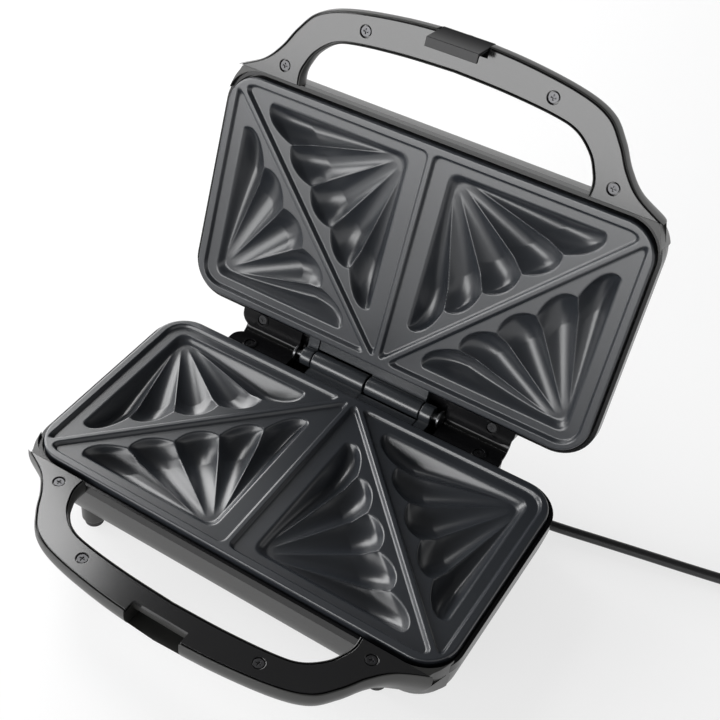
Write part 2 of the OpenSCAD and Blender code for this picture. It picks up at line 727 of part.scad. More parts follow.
module lid_hinge_screws() {
    color("#6f7173") in_lid() hinge_screws();
}
module lower_plate_screws() {
    color("#8b8d8f") in_base() plate_screws();
}
module upper_plate_screws() {
    color("#8b8d8f") in_lid() plate_screws();
}
module base_cover_screws() {
    color("#8b8d8f") in_base() under_screws(cover_screw_l);
}
module upper_shield_screws() {
    color("#8b8d8f") in_lid() under_screws(0);
}

// ---------------------------------------------------------------- feet

module foot(p) {
    color("#1d1d1d") in_base() translate([p[0], p[1], table_z]) {
        cylinder(r1=foot_r - 0.6, r2=foot_r, h=pad_z - table_z);
        cylinder(r=2.1, h=pad_z - table_z + 3.6);
    }
}
module front_left_foot() {
    foot(foot_spots[0]);
}
module front_right_foot() {
    foot(foot_spots[1]);
}
module back_left_foot() {
    foot(foot_spots[2]);
}
module back_right_foot() {
    foot(foot_spots[3]);
}

// ---------------------------------------------------------------- supply

floor_z = -half_h + cover_wall;
lead_z = floor_z + cord_d / 2;
lead_x = 52;

module terminal_block() {
    color("#e6e2d6") in_base() difference() {
        translate([lead_x - 15, -40, floor_z]) cube([30, 12, 12]);
        for (x = [-10, 0, 10]) translate([lead_x + x, -34, floor_z]) {
            translate([0, 0, 7]) cylinder(r=2, h=6);
            translate([0, 0, 3]) cylinder(r=1.2, h=6);
        }
    }
}
module cord_clamp() {
    room = cord_d + 0.6;
    color("#d8d4c8") in_base() difference() {
        translate([lead_x - 9, -20, floor_z]) cube([18, 7, 9]);
        translate([lead_x - room / 2, -21, floor_z - 1]) cube([room, 9, room + 1]);
        for (x = [-6.3, 6.3]) translate([lead_x + x, -16.5, floor_z + 5]) cylinder(r=1.3, h=5);
    }
}
module inner_lead() {
    bend = [[59.5, exit_y, exit_z], [58, exit_y, exit_z], [56.5, exit_y, exit_z - 0.2],
        [53.8, exit_y - 1.9, exit_z - 1.4], [lead_x + 0.3, exit_y - 6, lead_z + 0.2],
        [lead_x, exit_y - 11.5, lead_z], [lead_x, -14, lead_z], [lead_x, -27.7, lead_z]];
    color("#202020") in_base() tube(curve(bend, 3), cord_d / 2 - 0.2, 8);
}
// Tapered strain relief with a collar inside the boss and a necked wall groove
module strain_relief() {
    wall = cover_wall + 0.2;
    end_r = cord_d / 2 + 0.9;
    color("#1b1b1b") in_base() translate([boss_x - wall - 1.6, exit_y, exit_z]) rotate([0, 90, 0])
        rotate_extrude() polygon([[0, 0], [relief_root + 0.4, 0], [relief_root + 0.4, 1.5],
            [relief_root - 0.6, 1.5], [relief_root - 0.6, wall + 1.7], [relief_root, wall + 1.7],
            [relief_root, wall + 5], [end_r, wall + 1.6 + relief_l], [0, wall + 1.6 + relief_l]]);
}
module mains_cord() {
    color("#1a1a1a") in_base() tube(curve(route, 3), cord_d / 2, 8);
}
module cord_coil() {
    color("#1a1a1a") in_base() tube(coil_path, cord_d / 2, 6);
}
// A strap round all turns of the coil
module cord_tie() {
    t = 0.8;
    g = 0.3;
    low = coil_end[2] - cord_d / 2;
    r_in = coil_radius(coil_turn_back) - cord_d / 2 - g;
    r_out = coil_radius(coil_out) + cord_d / 2 + g;
    high = low + cord_d + coil_pitch;
    color("#2a2a2a") in_base() translate([coil_mid[0], coil_mid[1], 0]) rotate(coil_start + 200) difference() {
        translate([r_in - t, -4, table_z + 0.1]) cube([r_out - r_in + 2 * t, 8, high + g + t - table_z - 0.1]);
        translate([r_in, -5, low - 0.2]) cube([r_out - r_in, 10, high - low + g + 0.2]);
    }
}
// A flat moulded plug that lies on its back with its three pins up
module plug_frame() {
    in_base() translate(plug_start) rotate(atan2(plug_dir[1], plug_dir[0])) children();
}
plug_t = 2 * (plug_start[2] - table_z);
module mains_plug() {
    color("#1b1b1b") plug_frame() difference() {
        union() {
            rotate([0, 90, 0]) rotate_extrude()
                polygon([[0, 0], [cord_d / 2 + 0.6, 0], [cord_d / 2 + 2.6, 24], [cord_d / 2 + 2.6, 30], [0, 30]]);
            translate([0, 0, -plug_t / 2]) linear_extrude(plug_t)
                polygon([[25, -10], [38, -24], [66, -25], [70, -21], [70, 21], [66, 25], [38, 24], [25, 10]]);
        }
        for (p = pin_spots) translate([p[0] - p[2] / 2 - 0.1, p[1] - p[3] / 2 - 0.1, plug_t / 2 - 5])
            cube([p[2] + 0.2, p[3] + 0.2, 10]);
    }
}
pin_spots = [[38.5, 0, 8, 4, 22.5], [60.7, -11.1, 4, 6.3, 17.5], [60.7, 11.1, 4, 6.3, 17.5]];
module plug_pins() {
    color("#c9a85a") plug_frame() for (p = pin_spots)
        translate([p[0] - p[2] / 2, p[1] - p[3] / 2, plug_t / 2 - 5]) cube([p[2], p[3], p[4] + 5]);
}

// ---------------------------------------------------------------- controls in the lid

module thermostat() {
    top = under_z - seat_gap;
    color("#cfc8b4") in_lid() translate([0, -plate_d / 2, 0]) {
        translate([0, 0, top - 3]) cylinder(r=8, h=3);
        translate([0, 0, top - 8]) cylinder(r=6.5, h=6);
        for (x = [-4, 4]) translate([x - 0.4, -2.5, top - 13]) cube([0.8, 5, 6]);
    }
}
module thermal_fuse() {
    color("#c9b27a") in_lid() translate([0, -0.3 * plate_d, under_z - seat_gap - 2]) rotate([90, 0, 0]) {
        translate([0, 0, -6]) cylinder(r=2, h=12);
        translate([0, 0, -13]) cylinder(r=0.5, h=26);
    }
}
module lens(x, tint) {
    color(tint) in_lid() translate([x, lamp_y, -half_h]) {
        translate([0, 0, -0.8]) cylinder(r1=lens_r - 0.8, r2=lens_r, h=0.8);
        cylinder(r=lens_r, h=cover_wall + 0.5);
        translate([0, 0, cover_wall]) cylinder(r=lens_r + 1.2, h=1.2);
    }
}
module power_lamp_lens() {
    lens(-lamp_x, "#b3201a");
}
module ready_lamp_lens() {
    lens(lamp_x, "#1f8a3a");
}
module lamp_holder() {
    w = 2 * lamp_x + 18;
    color("#d9d5c9") in_lid() translate([-w / 2, lamp_y - 6, floor_z]) difference() {
        cube([w, 12, 8]);
        translate([2.5, -1, -1]) cube([w - 5, 14, 1 + 1.5]);
        for (x = [-lamp_x, lamp_x]) translate([w / 2 + x, 6, -1]) cylinder(r=3, h=7);
    }
}

// ---------------------------------------------------------------- latch and hinge pins

module latch_clip() {
    color("#242424") in_lid() translate([-clip_w / 2, 0, 0]) rotate([90, 0, 90]) difference() {
        union() {
            linear_extrude(clip_w) polygon([[clip_pin_y - 2.2, clip_pin_z], [clip_y - clip_t, hook_top],
                [hook_y, hook_top], [hook_y, hook_top - clip_t], [clip_y, hook_top - clip_t],
                [clip_pin_y - 2.2 + clip_t, clip_pin_z]]);
            translate([clip_pin_y, clip_pin_z, 0]) cylinder(r=clip_barrel_r, h=clip_w);
        }
        translate([clip_pin_y, clip_pin_z, -1]) cylinder(r=clip_pin_r + 0.05, h=clip_w + 2);
    }
}
module latch_pin() {
    l = clip_w + 1 + 3;
    color("#9a9c9e") in_lid() translate([-l / 2, clip_pin_y, clip_pin_z]) rotate([0, 90, 0])
        cylinder(r=clip_pin_r, h=l);
}
module hinge_pin() {
    color("#b8babc") in_base() translate([0, hinge_set, 0]) rotate([0, 90, 0]) {
        translate([0, 0, 10]) cylinder(r=pin_r, h=ear_in - 1 - 10);
        translate([0, 0, ear_in - 2.1]) cylinder(r=barrel_r - 0.4, h=1.5);
    }
}
module hinge_pin_left() {
    mirror([1, 0, 0]) hinge_pin();
}
module hinge_pin_right() {
    hinge_pin();
}

// ---------------------------------------------------------------- drawing

base_cover();
base_frame();
lower_plate();
base_handle_plate();
lower_heating_element();
lower_heat_shield();
lower_plate_screws();
base_handle_screws();
base_hinge_screws();
base_cover_screws();
front_left_foot();
front_right_foot();
back_left_foot();
back_right_foot();
terminal_block();
cord_clamp();
inner_lead();
strain_relief();
mains_cord();
cord_coil();
cord_tie();
mains_plug();
plug_pins();
lid_cover();
lid_frame();
upper_plate();
lid_handle_plate();
upper_heating_element();
upper_heat_shield();
upper_plate_screws();
upper_shield_screws();
lid_handle_screws();
lid_hinge_screws();
thermostat();
thermal_fuse();
power_lamp_lens();
ready_lamp_lens();
lamp_holder();
latch_clip();
latch_pin();
hinge_pin_left();
hinge_pin_right();
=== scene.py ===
"""An open sandwich toaster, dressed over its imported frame.

Both halves are the same half: one stands on the table, the other is turned over and swung open about the
hinge. Shapes are worked out in millimetres in a half's own frame (x across, y = 0 at the cooking plate's
back edge with the handle towards -y, z = 0 at the parting plane) and then placed in the row frame.
"""

from __future__ import annotations

import json
import logging
import math
from dataclasses import dataclass, field
from enum import Enum

import bmesh
import bpy
import numpy as np
from mathutils import Matrix, Vector
from mathutils.geometry import delaunay_2d_cdt

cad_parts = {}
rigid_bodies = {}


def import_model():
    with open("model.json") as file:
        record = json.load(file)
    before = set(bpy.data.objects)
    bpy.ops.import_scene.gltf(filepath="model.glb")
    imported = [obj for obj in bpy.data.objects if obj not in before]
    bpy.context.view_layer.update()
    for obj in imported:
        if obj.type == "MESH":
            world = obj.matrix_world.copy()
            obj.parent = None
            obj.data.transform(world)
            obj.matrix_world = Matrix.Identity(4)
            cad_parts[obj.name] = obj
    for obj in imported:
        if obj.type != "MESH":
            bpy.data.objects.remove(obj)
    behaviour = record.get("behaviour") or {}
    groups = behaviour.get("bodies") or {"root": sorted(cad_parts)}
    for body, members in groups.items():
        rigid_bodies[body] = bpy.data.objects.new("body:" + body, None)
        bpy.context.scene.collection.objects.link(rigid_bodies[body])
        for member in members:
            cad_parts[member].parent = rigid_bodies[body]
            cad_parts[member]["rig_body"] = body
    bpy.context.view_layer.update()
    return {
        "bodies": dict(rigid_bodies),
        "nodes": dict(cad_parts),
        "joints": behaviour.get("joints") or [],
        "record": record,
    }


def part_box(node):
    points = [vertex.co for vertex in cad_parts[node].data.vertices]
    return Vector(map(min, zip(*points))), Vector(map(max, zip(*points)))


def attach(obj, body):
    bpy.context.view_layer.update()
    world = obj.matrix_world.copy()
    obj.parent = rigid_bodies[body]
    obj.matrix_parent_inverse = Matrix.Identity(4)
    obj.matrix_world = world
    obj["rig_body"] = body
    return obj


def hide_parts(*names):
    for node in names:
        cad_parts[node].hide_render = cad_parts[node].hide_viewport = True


log = logging.getLogger("toaster")
MM = 0.001
Array = np.ndarray
FRAME: dict = {}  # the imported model, which main() loads


class Half(Enum):
    """The two halves, named as the bodies that carry them."""

    BASE = "base"
    LID = "lid"


# ---------------------------------------------------------------- shared sizes and placing


@dataclass
class Layout:
    """Sizes that both halves share, in millimetres, in a half's own frame.

    Attributes:
        plate_w: width of the cooking plate.
        plate_d: its depth.
        plate_corner: the radius of its corners.
        rim_w: width of its rim.
        rim_z: the rim's height, just under the parting plane.
        panel_drop: how far the panels are sunk inside the rim.
        plate_wall: the casting's thickness.
        skirt_h: height of the wall round its edge.
        hinge_set: how far the hinge axis lies behind the plate.
        open_angle: how far the lid stands open, in degrees.
        overhang: how far the housing stands out beyond the plate.
        half_h: a half's height.
        foot_h: a foot's height.
        cover_top: how far the cover's rim lies under the parting plane.
        cover_wall: the cover's thickness.
        face_top: how far the handle's face lies under the parting plane.
        face_t: the face plate's thickness.
        handle_reach: how far the handle stands out in front of the plate.
        handle_depth: the handle's height.
        handle_rim: width of the cover's rim round the face plate.
        clip_w: the latch clip's width.
        origin_y: the row frame's middle.
    """

    plate_w: float = 260.0
    plate_d: float = 137.7
    plate_corner: float = 19.5
    rim_w: float = 4.7
    rim_z: float = -1.0
    panel_drop: float = 2.5
    plate_wall: float = 2.6
    skirt_h: float = 7.4
    hinge_set: float = 12.4
    open_angle: float = 107.0
    overhang: float = 3.0
    half_h: float = 45.0
    foot_h: float = 6.0
    cover_top: float = 11.0
    cover_wall: float = 2.4
    face_top: float = 1.5
    face_t: float = 2.4
    handle_reach: float = 58.0
    handle_depth: float = 19.0
    handle_rim: float = 1.5
    clip_w: float = 30.0
    origin_y: float = -51.8317

    @property
    def parting_h(self) -> float:
        """Height of the parting plane over the table."""
        return self.half_h + self.foot_h

    @property
    def handle_front(self) -> float:
        """The handle's foremost place at its face."""
        return -self.plate_d - self.handle_reach

    @property
    def body_front(self) -> float:
        """The front of the housing's outline."""
        return -self.plate_d - self.overhang - 0.3

    def fit_to_frame(self) -> None:
        """Takes the plate's width and the halves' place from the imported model."""
        low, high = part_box("lower_plate")
        self.plate_w = (high[0] - low[0]) / MM
        pin = frame_joint("lid_hinge")["pos_m"]
        self.origin_y = self.hinge_set - pin[1] / MM

    def place(self, points: Array, half: Half) -> Array:
        """Moves points from a half's own frame to the row frame.

        The base is only shifted. The lid is mirrored in the parting plane, then turned about the hinge
        axis: y' = y cos a - z sin a and z' = y sin a + z cos a with y counted from the axis.

        Args:
            points: n points in millimetres.
            half: the half that they belong to.

        Returns:
            The same points in metres in the row frame.
        """
        p = np.asarray(points, float).reshape(-1, 3).copy()
        if half is Half.LID:
            angle = math.radians(-self.open_angle)
            y, z = p[:, 1] - self.hinge_set, -p[:, 2]
            p[:, 1] = y * math.cos(angle) - z * math.sin(angle) + self.hinge_set
            p[:, 2] = y * math.sin(angle) + z * math.cos(angle)
        return (p + [0.0, -self.origin_y, self.parting_h]) * MM


def frame_joint(name: str) -> dict:
    """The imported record's joint of that name."""
    return next(joint for joint in FRAME["joints"] if joint["name"] == name)


# ---------------------------------------------------------------- curves and meshes


def smooth_line(points: Array | list | tuple, steps: int) -> Array:
    """A Catmull-Rom curve: each stretch is a cubic whose ends lean along their neighbours' chord.

    Args:
        points: the points that the curve goes through.
        steps: stretches between one point and the next.

    Returns:
        The curve's points, the last one included.
    """
    p = np.asarray(points, float)
    a, b = np.vstack([p[:1], p[:-2]]), p[:-1]
    c, d = p[1:], np.vstack([p[2:], p[-1:]])
    t = (np.arange(steps) / steps)[None, :, None]
    a, b, c, d = (q[:, None, :] for q in (a, b, c, d))
    line = b + (c - a) * t / 2 + (2 * a - 5 * b + 4 * c - d) * t**2 / 2 + (3 * b - a - 3 * c + d) * t**3 / 2
    return np.vstack([line.reshape(-1, p.shape[1]), p[-1:]])


def rounded_rectangle(x: float, y0: float, y1: float, r: float, count: int) -> Array:
    """An anticlockwise outline whose corners are quarter circles.

    Args:
        x: half its width.
        y0: its front.
        y1: its back.
        r: the corners' radius.
        count: points in each corner.

    Returns:
        The outline's points.
    """
    quarter = np.radians(np.linspace(0, 90, count))
    corners = []
    for turn, (sx, sy) in enumerate([(1, -1), (1, 1), (-1, 1), (-1, -1)]):
        angle = quarter + math.radians(90 * turn - 90)
        centre = [sx * (x - r), y1 - r if sy > 0 else y0 + r]
        corners.append(np.column_stack([centre[0] + r * np.cos(angle), centre[1] + r * np.sin(angle)]))
    return np.vstack(corners)


def strip_faces(rows: int, cols: int, closed: bool) -> list:
    """Quads of a grid of points stored row by row.

    Args:
        rows: the grid's rows.
        cols: points in each row.
        closed: whether the last column joins the first.

    Returns:
        The faces.
    """
    j = np.arange(cols if closed else cols - 1)
    i = np.arange(rows - 1)[:, None]
    a = i * cols + j
    b = i * cols + (j + 1) % cols
    return np.stack([a, b, b + cols, a + cols], axis=-1).reshape(-1, 4).tolist()


def loft(rings: Array) -> tuple[Array, list]:
    """A skin over a row of closed rings, with a flat face on each end.

    Args:
        rings: an array of rings, points and coordinates.

    Returns:
        The points and the faces.
    """
    rows, cols = rings.shape[:2]
    faces = strip_faces(rows, cols, True)
    faces.append(list(range(cols))[::-1])
    faces.append(list(range((rows - 1) * cols, rows * cols)))
    return rings.reshape(-1, 3), faces


def at_height(outline: Array, z: float) -> Array:
    """A flat outline's points at the height z."""
    return np.column_stack([outline, np.full(len(outline), z)])


def prism(outline: Array, low: float, high: float) -> tuple[Array, list]:
    """An outline carried straight up from low to high, closed at both ends."""
    return loft(np.stack([at_height(outline, low), at_height(outline, high)]))


def block(low: tuple, high: tuple) -> tuple[Array, list]:
    """A box between two corners."""
    (x0, x1), (y0, y1), z = zip(low, high)
    return prism(np.array([[x0, y0], [x1, y0], [x1, y1], [x0, y1]]), *z)


def revolve(profile: list | tuple, turns: int = 48) -> tuple[Array, list]:
    """Turns a profile about z: x = r cos a and y = r sin a for its radius r at each angle a.

    Args:
        profile: pairs of radius and height, where a radius of zero becomes a tiny ring.
        turns: points in each ring.

    Returns:
        The points and the faces.
    """
    p = np.asarray(profile, float)
    angle = np.linspace(0, 2 * math.pi, turns, endpoint=False)
    r = np.maximum(p[:, 0], 1e-3)[:, None]
    rings = np.stack([r * np.cos(angle), r * np.sin(angle), np.repeat(p[:, 1:], turns, axis=1)], axis=-1)
    return loft(rings)


def rounded_bar(length: float, radius: float, edge: float) -> tuple[Array, list]:
    """A round bar along +x from 0 with its end edges rounded by quarter circles.

    Args:
        length: the bar's length.
        radius: the bar's radius.
        edge: the radius of its end edges.

    Returns:
        The points and the faces.
    """
    bend = np.radians(np.linspace(0, 90, 6))
    start = np.column_stack([radius - edge + edge * np.sin(bend), edge - edge * np.cos(bend)])
    stop = np.column_stack([start[::-1, 0], length - start[::-1, 1]])
    points, faces = revolve(np.vstack([[0, 0], start, stop, [0, length]]).tolist())
    return points[:, [2, 0, 1]], faces


class Shape:
    """A mesh that grows from several closed shells and becomes one object at the origin."""

    def __init__(self, name: str) -> None:
        """Starts an empty shape.

        Args:
            name: the name of the object that it becomes.
        """
        self.name = name
        self.points: list[Array] = []
        self.faces: list[list[int]] = []
        self.count = 0

    def add(self, points: Array, faces: list, shift: tuple = (0.0, 0.0, 0.0)) -> "Shape":
        """Adds a shell.

        Args:
            points: the shell's points in millimetres.
            faces: its faces.
            shift: how far the shell is moved.

        Returns:
            The shape.
        """
        self.points.append(np.asarray(points, float) + np.asarray(shift, float))
        self.faces.extend([[k + self.count for k in face] for face in faces])
        self.count += len(points)
        return self

    def build(self, place: Layout, half: Half, body: str, angle: float = 35.0) -> bpy.types.Object:
        """Makes the object.

        Args:
            place: puts the points into the row frame.
            half: the half that the points belong to.
            body: the body that the object rides on.
            angle: edges between faces that meet at more than this many degrees stay sharp.

        Returns:
            The finished object.
        """
        world = place.place(np.vstack(self.points), half)
        return make_object(self.name, world, self.faces, body, angle)


def linked(name: str, data: bpy.types.ID) -> bpy.types.Object:
    """A new object in the scene.

    Args:
        name: the object's name.
        data: the mesh, curve, lamp or camera that it holds.

    Returns:
        The object.
    """
    made = bpy.data.objects.new(name, data)
    bpy.context.scene.collection.objects.link(made)
    return made


def closed_mesh(name: str, points: Array, faces: list) -> bpy.types.Mesh:
    """A mesh of closed shells with its faces turned outwards.

    Args:
        name: the mesh's name.
        points: its points in metres.
        faces: its faces.

    Returns:
        The mesh.
    """
    mesh = bpy.data.meshes.new(name)
    mesh.from_pydata(points.tolist(), [], faces)
    outward = bmesh.new()
    outward.from_mesh(mesh)
    bmesh.ops.recalc_face_normals(outward, faces=outward.faces)
    outward.to_mesh(mesh)
    outward.free()
    return mesh


def make_object(name: str, points: Array, faces: list, body: str, angle: float) -> bpy.types.Object:
    """Makes an object at the origin.

    Args:
        name: the object's name.
        points: its points in metres.
        faces: its faces.
        body: the body that it rides on.
        angle: edges between faces that meet at more than this many degrees stay sharp.

    Returns:
        The object.
    """
    made = linked(name, closed_mesh(name, points, faces))
    shade(made, angle)
    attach(made, body)
    return made


def shade(made: bpy.types.Object, angle: float) -> None:
    """Shades an object smooth, except across edges sharper than angle."""
    made.data.shade_smooth()
    made.data.set_sharp_from_angle(angle=math.radians(angle))


def evaluated(made: bpy.types.Object) -> bpy.types.Mesh:
    """The mesh that an object's modifiers or its curve give."""
    return bpy.data.meshes.new_from_object(made.evaluated_get(bpy.context.evaluated_depsgraph_get()))


def carve(made: bpy.types.Object, tools: list, angle: float = 35.0) -> None:
    """Cuts tools out of an object, one after the other, with exact booleans.

    Args:
        made: the object.
        tools: closed shells in metres, each its points and faces.
        angle: edges between faces that meet at more than this many degrees stay sharp.
    """
    for points, faces in tools:
        tool = linked("cut", closed_mesh("cut", points, faces))
        cut = made.modifiers.new("cut", "BOOLEAN")
        cut.operation = "DIFFERENCE"
        cut.solver = "EXACT"
        cut.object = tool
        result = evaluated(made)
        made.modifiers.remove(cut)
        made.data = result
        bpy.data.objects.remove(tool)
    shade(made, angle)


def bevel(made: bpy.types.Object, width: float, segments: int = 3, angle: float = 40.0) -> None:
    """Rounds an object's sharp edges.

    Args:
        made: the object.
        width: the rounding's width in millimetres.
        segments: faces across the rounding.
        angle: edges sharper than this many degrees are rounded.
    """
    rounding = made.modifiers.new("edges", "BEVEL")
    rounding.width = width * MM
    rounding.segments = segments
    rounding.limit_method = "ANGLE"
    rounding.angle_limit = math.radians(angle)
    rounding.harden_normals = True


def flat_plate(outline: Array, holes: list, thickness: float, edge: float) -> tuple[Array, list]:
    """A flat plate with holes and rounded edges, its top at z = 0.

    Args:
        outline: the outer outline, closed.
        holes: outlines of holes, each closed.
        thickness: the plate's thickness.
        edge: the radius of its edges.

    Returns:
        The points and the faces.
    """
    curve = bpy.data.curves.new("plate", "CURVE")
    curve.dimensions = "2D"
    curve.fill_mode = "BOTH"
    curve.extrude = thickness / 2 - edge
    curve.bevel_depth = edge
    curve.bevel_resolution = 2
    curve.offset = -edge
    for loop in [outline, *holes]:
        spline = curve.splines.new("POLY")
        spline.points.add(len(loop) - 1)
        spline.points.foreach_set("co", np.column_stack([at_height(loop, 0.0), np.ones(len(loop))]).ravel())
        spline.use_cyclic_u = True
    holder = linked("plate", curve)
    merged = bmesh.new()
    merged.from_mesh(evaluated(holder))
    bmesh.ops.remove_doubles(merged, verts=merged.verts, dist=1e-4)
    points = np.array([v.co[:] for v in merged.verts]) - [0, 0, thickness / 2]
    faces = [[v.index for v in face.verts] for face in merged.faces]
    merged.free()
    bpy.data.objects.remove(holder)
    return points, faces


def circle(x: float, y: float, r: float) -> Array:
    """The points of a circle round x, y."""
    angle = np.linspace(0, 2 * math.pi, 40, endpoint=False)
    return np.column_stack([x + r * np.cos(angle), y + r * np.sin(angle)])


def refined(node: str, edge: float, angle: float = 30.0) -> bpy.types.Object:
    """A copy of a CAD node with its loose triangles joined, its edges rounded and its curves smooth.

    Args:
        node: the node that the copy stands for.
        edge: the rounding's width in millimetres, or 0 to leave the edges.
        angle: edges sharper than this many degrees are rounded and stay sharp.

    Returns:
        The copy.
    """
    source = FRAME["nodes"][node]
    mesh = source.data.copy()
    mesh.materials.clear()
    joined = bmesh.new()
    joined.from_mesh(mesh)
    bmesh.ops.remove_doubles(joined, verts=joined.verts, dist=1e-6)
    bmesh.ops.dissolve_limit(joined, angle_limit=math.radians(0.5), verts=joined.verts, edges=joined.edges)
    joined.to_mesh(mesh)
    joined.free()
    made = linked(f"{node}_finish", mesh)
    shade(made, angle)
    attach(made, source["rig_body"])
    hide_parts(node)
    if edge > 0:
        bevel(made, edge, 2, angle)
    return made


# ---------------------------------------------------------------- finishes


@dataclass(frozen=True)
class Finish:
    """A procedural finish.

    Attributes:
        name: the material's name.
        slot: the record's material slot; not used.
        colour: linear colour.
        roughness: the shader's roughness.
        metallic: 1 for bare metal.
        grain: size of the surface's fine grain in millimetres.
        relief: height of that grain in millimetres.
        mottle: how much the colour varies, as a share.
        patch: size of the colour's slow variation in millimetres.
        specular: the shader's specular level.
        glow: share of light that passes through, for lamp lenses.
    """

    name: str
    slot: str
    colour: tuple
    roughness: float = 0.5
    metallic: float = 0.0
    grain: float = 0.5
    relief: float = 0.01
    mottle: float = 0.08
    patch: float = 30.0
    specular: float = 0.5
    glow: float = 0.0

    def material(self) -> bpy.types.Material:
        """Builds the material once: slow noise tints the colour, and fine noise lifts the skin.

        Returns:
            The material.
        """
        found = bpy.data.materials.get(self.name)
        if found:
            return found
        made = bpy.data.materials.new(self.name)
        made.use_nodes = True
        made.diffuse_color = (*self.colour, 1.0)
        tree = made.node_tree
        shader = tree.nodes["Principled BSDF"]
        shader.inputs["Metallic"].default_value = self.metallic
        shader.inputs["Specular IOR Level"].default_value = self.specular
        shader.inputs["Transmission Weight"].default_value = self.glow
        place = tree.nodes.new("ShaderNodeTexCoord")
        slow = self._noise(tree, place, self.patch, 3.0)
        tint = tree.nodes.new("ShaderNodeValToRGB")
        tint.color_ramp.elements[0].position = 0.25
        tint.color_ramp.elements[1].position = 0.75
        for element, level in zip(tint.color_ramp.elements, (1 - self.mottle, 1 + self.mottle)):
            element.color = (*[min(1.0, c * level) for c in self.colour], 1.0)
        tree.links.new(slow.outputs["Fac"], tint.inputs["Fac"])
        tree.links.new(tint.outputs["Color"], shader.inputs["Base Color"])
        fine = self._noise(tree, place, self.grain, 2.0)
        spread = tree.nodes.new("ShaderNodeMapRange")
        spread.inputs["To Min"].default_value = self.roughness * 0.92
        spread.inputs["To Max"].default_value = min(1.0, self.roughness * 1.08)
        tree.links.new(slow.outputs["Fac"], spread.inputs["Value"])
        tree.links.new(spread.outputs["Result"], shader.inputs["Roughness"])
        bump = tree.nodes.new("ShaderNodeBump")
        bump.inputs["Strength"].default_value = 1.0
        bump.inputs["Distance"].default_value = self.relief * MM
        tree.links.new(fine.outputs["Fac"], bump.inputs["Height"])
        tree.links.new(bump.outputs["Normal"], shader.inputs["Normal"])
        return made

    @staticmethod
    def _noise(tree: bpy.types.NodeTree, place: bpy.types.Node, size: float, detail: float) -> bpy.types.Node:
        """A noise on the object's own coordinates.

        Args:
            tree: the material's nodes.
            place: the node that gives the coordinates.
            size: about how many millimetres its features are across.
            detail: how much finer noise it holds.

        Returns:
            The noise node.
        """
        noise = tree.nodes.new("ShaderNodeTexNoise")
        noise.inputs["Scale"].default_value = 1.0 / (size * MM)
        noise.inputs["Detail"].default_value = detail
        tree.links.new(place.outputs["Object"], noise.inputs["Vector"])
        return noise

    def dress(self, *pieces: bpy.types.Object) -> None:
        """Gives pieces this finish.

        Args:
            pieces: the objects to dress.
        """
        for piece in pieces:
            piece.data.materials.clear()
            piece.data.materials.append(self.material())


HOUSING = Finish("moulded_housing", "housing", (0.02, 0.02, 0.019), 0.36, grain=0.35, relief=0.012)
FACE = Finish("moulded_handle_face", "handle_plate", (0.01, 0.01, 0.0105), 0.15, grain=0.3, relief=0.003, specular=0.6)
GLOSS = Finish("glossy_black_frame", "frame", (0.004, 0.004, 0.0045), 0.18, grain=2.0, relief=0.005, specular=0.3)
COATING = Finish(
    "nonstick_coating", "cooking_plate", (0.02, 0.0225, 0.027), 0.3, grain=0.5, relief=0.008, specular=0.7
)
BARREL = Finish("cast_barrel", "cooking_plate", (0.02, 0.0225, 0.026), 0.26, grain=0.5, relief=0.006, specular=0.8)
STEEL = Finish("darkened_pin", "pins", (0.12, 0.122, 0.126), 0.3, metallic=1.0, grain=0.4, relief=0.004)
SCREW = Finish("dark_screw_steel", "screws", (0.07, 0.07, 0.073), 0.3, metallic=1.0, grain=0.3, relief=0.004)
CLIP = Finish("black_clip", "latch_clip", (0.007, 0.007, 0.008), 0.3, grain=1.5, relief=0.004, specular=0.25)
RUBBER = Finish("foot_rubber", "feet", (0.018, 0.018, 0.018), 0.75, grain=0.4, relief=0.03)
FLEX = Finish("cord_flex", "cord", (0.012, 0.012, 0.013), 0.42, grain=0.8, relief=0.02)
TIE = Finish("tie_strap", "cord_tie", (0.02, 0.02, 0.02), 0.6, grain=0.4, relief=0.03)
PLUG = Finish("plug_plastic", "plug", (0.014, 0.014, 0.015), 0.45, grain=0.4, relief=0.02)
BRASS = Finish("plug_pin_brass", "plug_pins", (0.7, 0.53, 0.27), 0.25, metallic=1.0, grain=0.3, relief=0.004)
ELEMENT = Finish("element_sheath", "element", (0.28, 0.27, 0.27), 0.45, metallic=1.0, grain=0.4, relief=0.02)
SHEET = Finish("shield_sheet", "shield", (0.6, 0.61, 0.62), 0.4, metallic=1.0, grain=0.6, relief=0.01)
TERMINAL = Finish("terminal_plastic", "terminal", (0.72, 0.69, 0.62), 0.5)
CERAMIC = Finish("ceramic_body", "ceramic_insulator", (0.7, 0.66, 0.58), 0.6)
FUSE = Finish("fuse_brass", "brass_fittings", (0.6, 0.48, 0.25), 0.35, metallic=1.0)
RED = Finish("red_lens", "power_lens", (0.5, 0.015, 0.01), 0.12, glow=0.35, mottle=0.02)
GREEN = Finish("green_lens", "ready_lens", (0.01, 0.28, 0.06), 0.12, glow=0.35, mottle=0.02)


# ---------------------------------------------------------------- cord


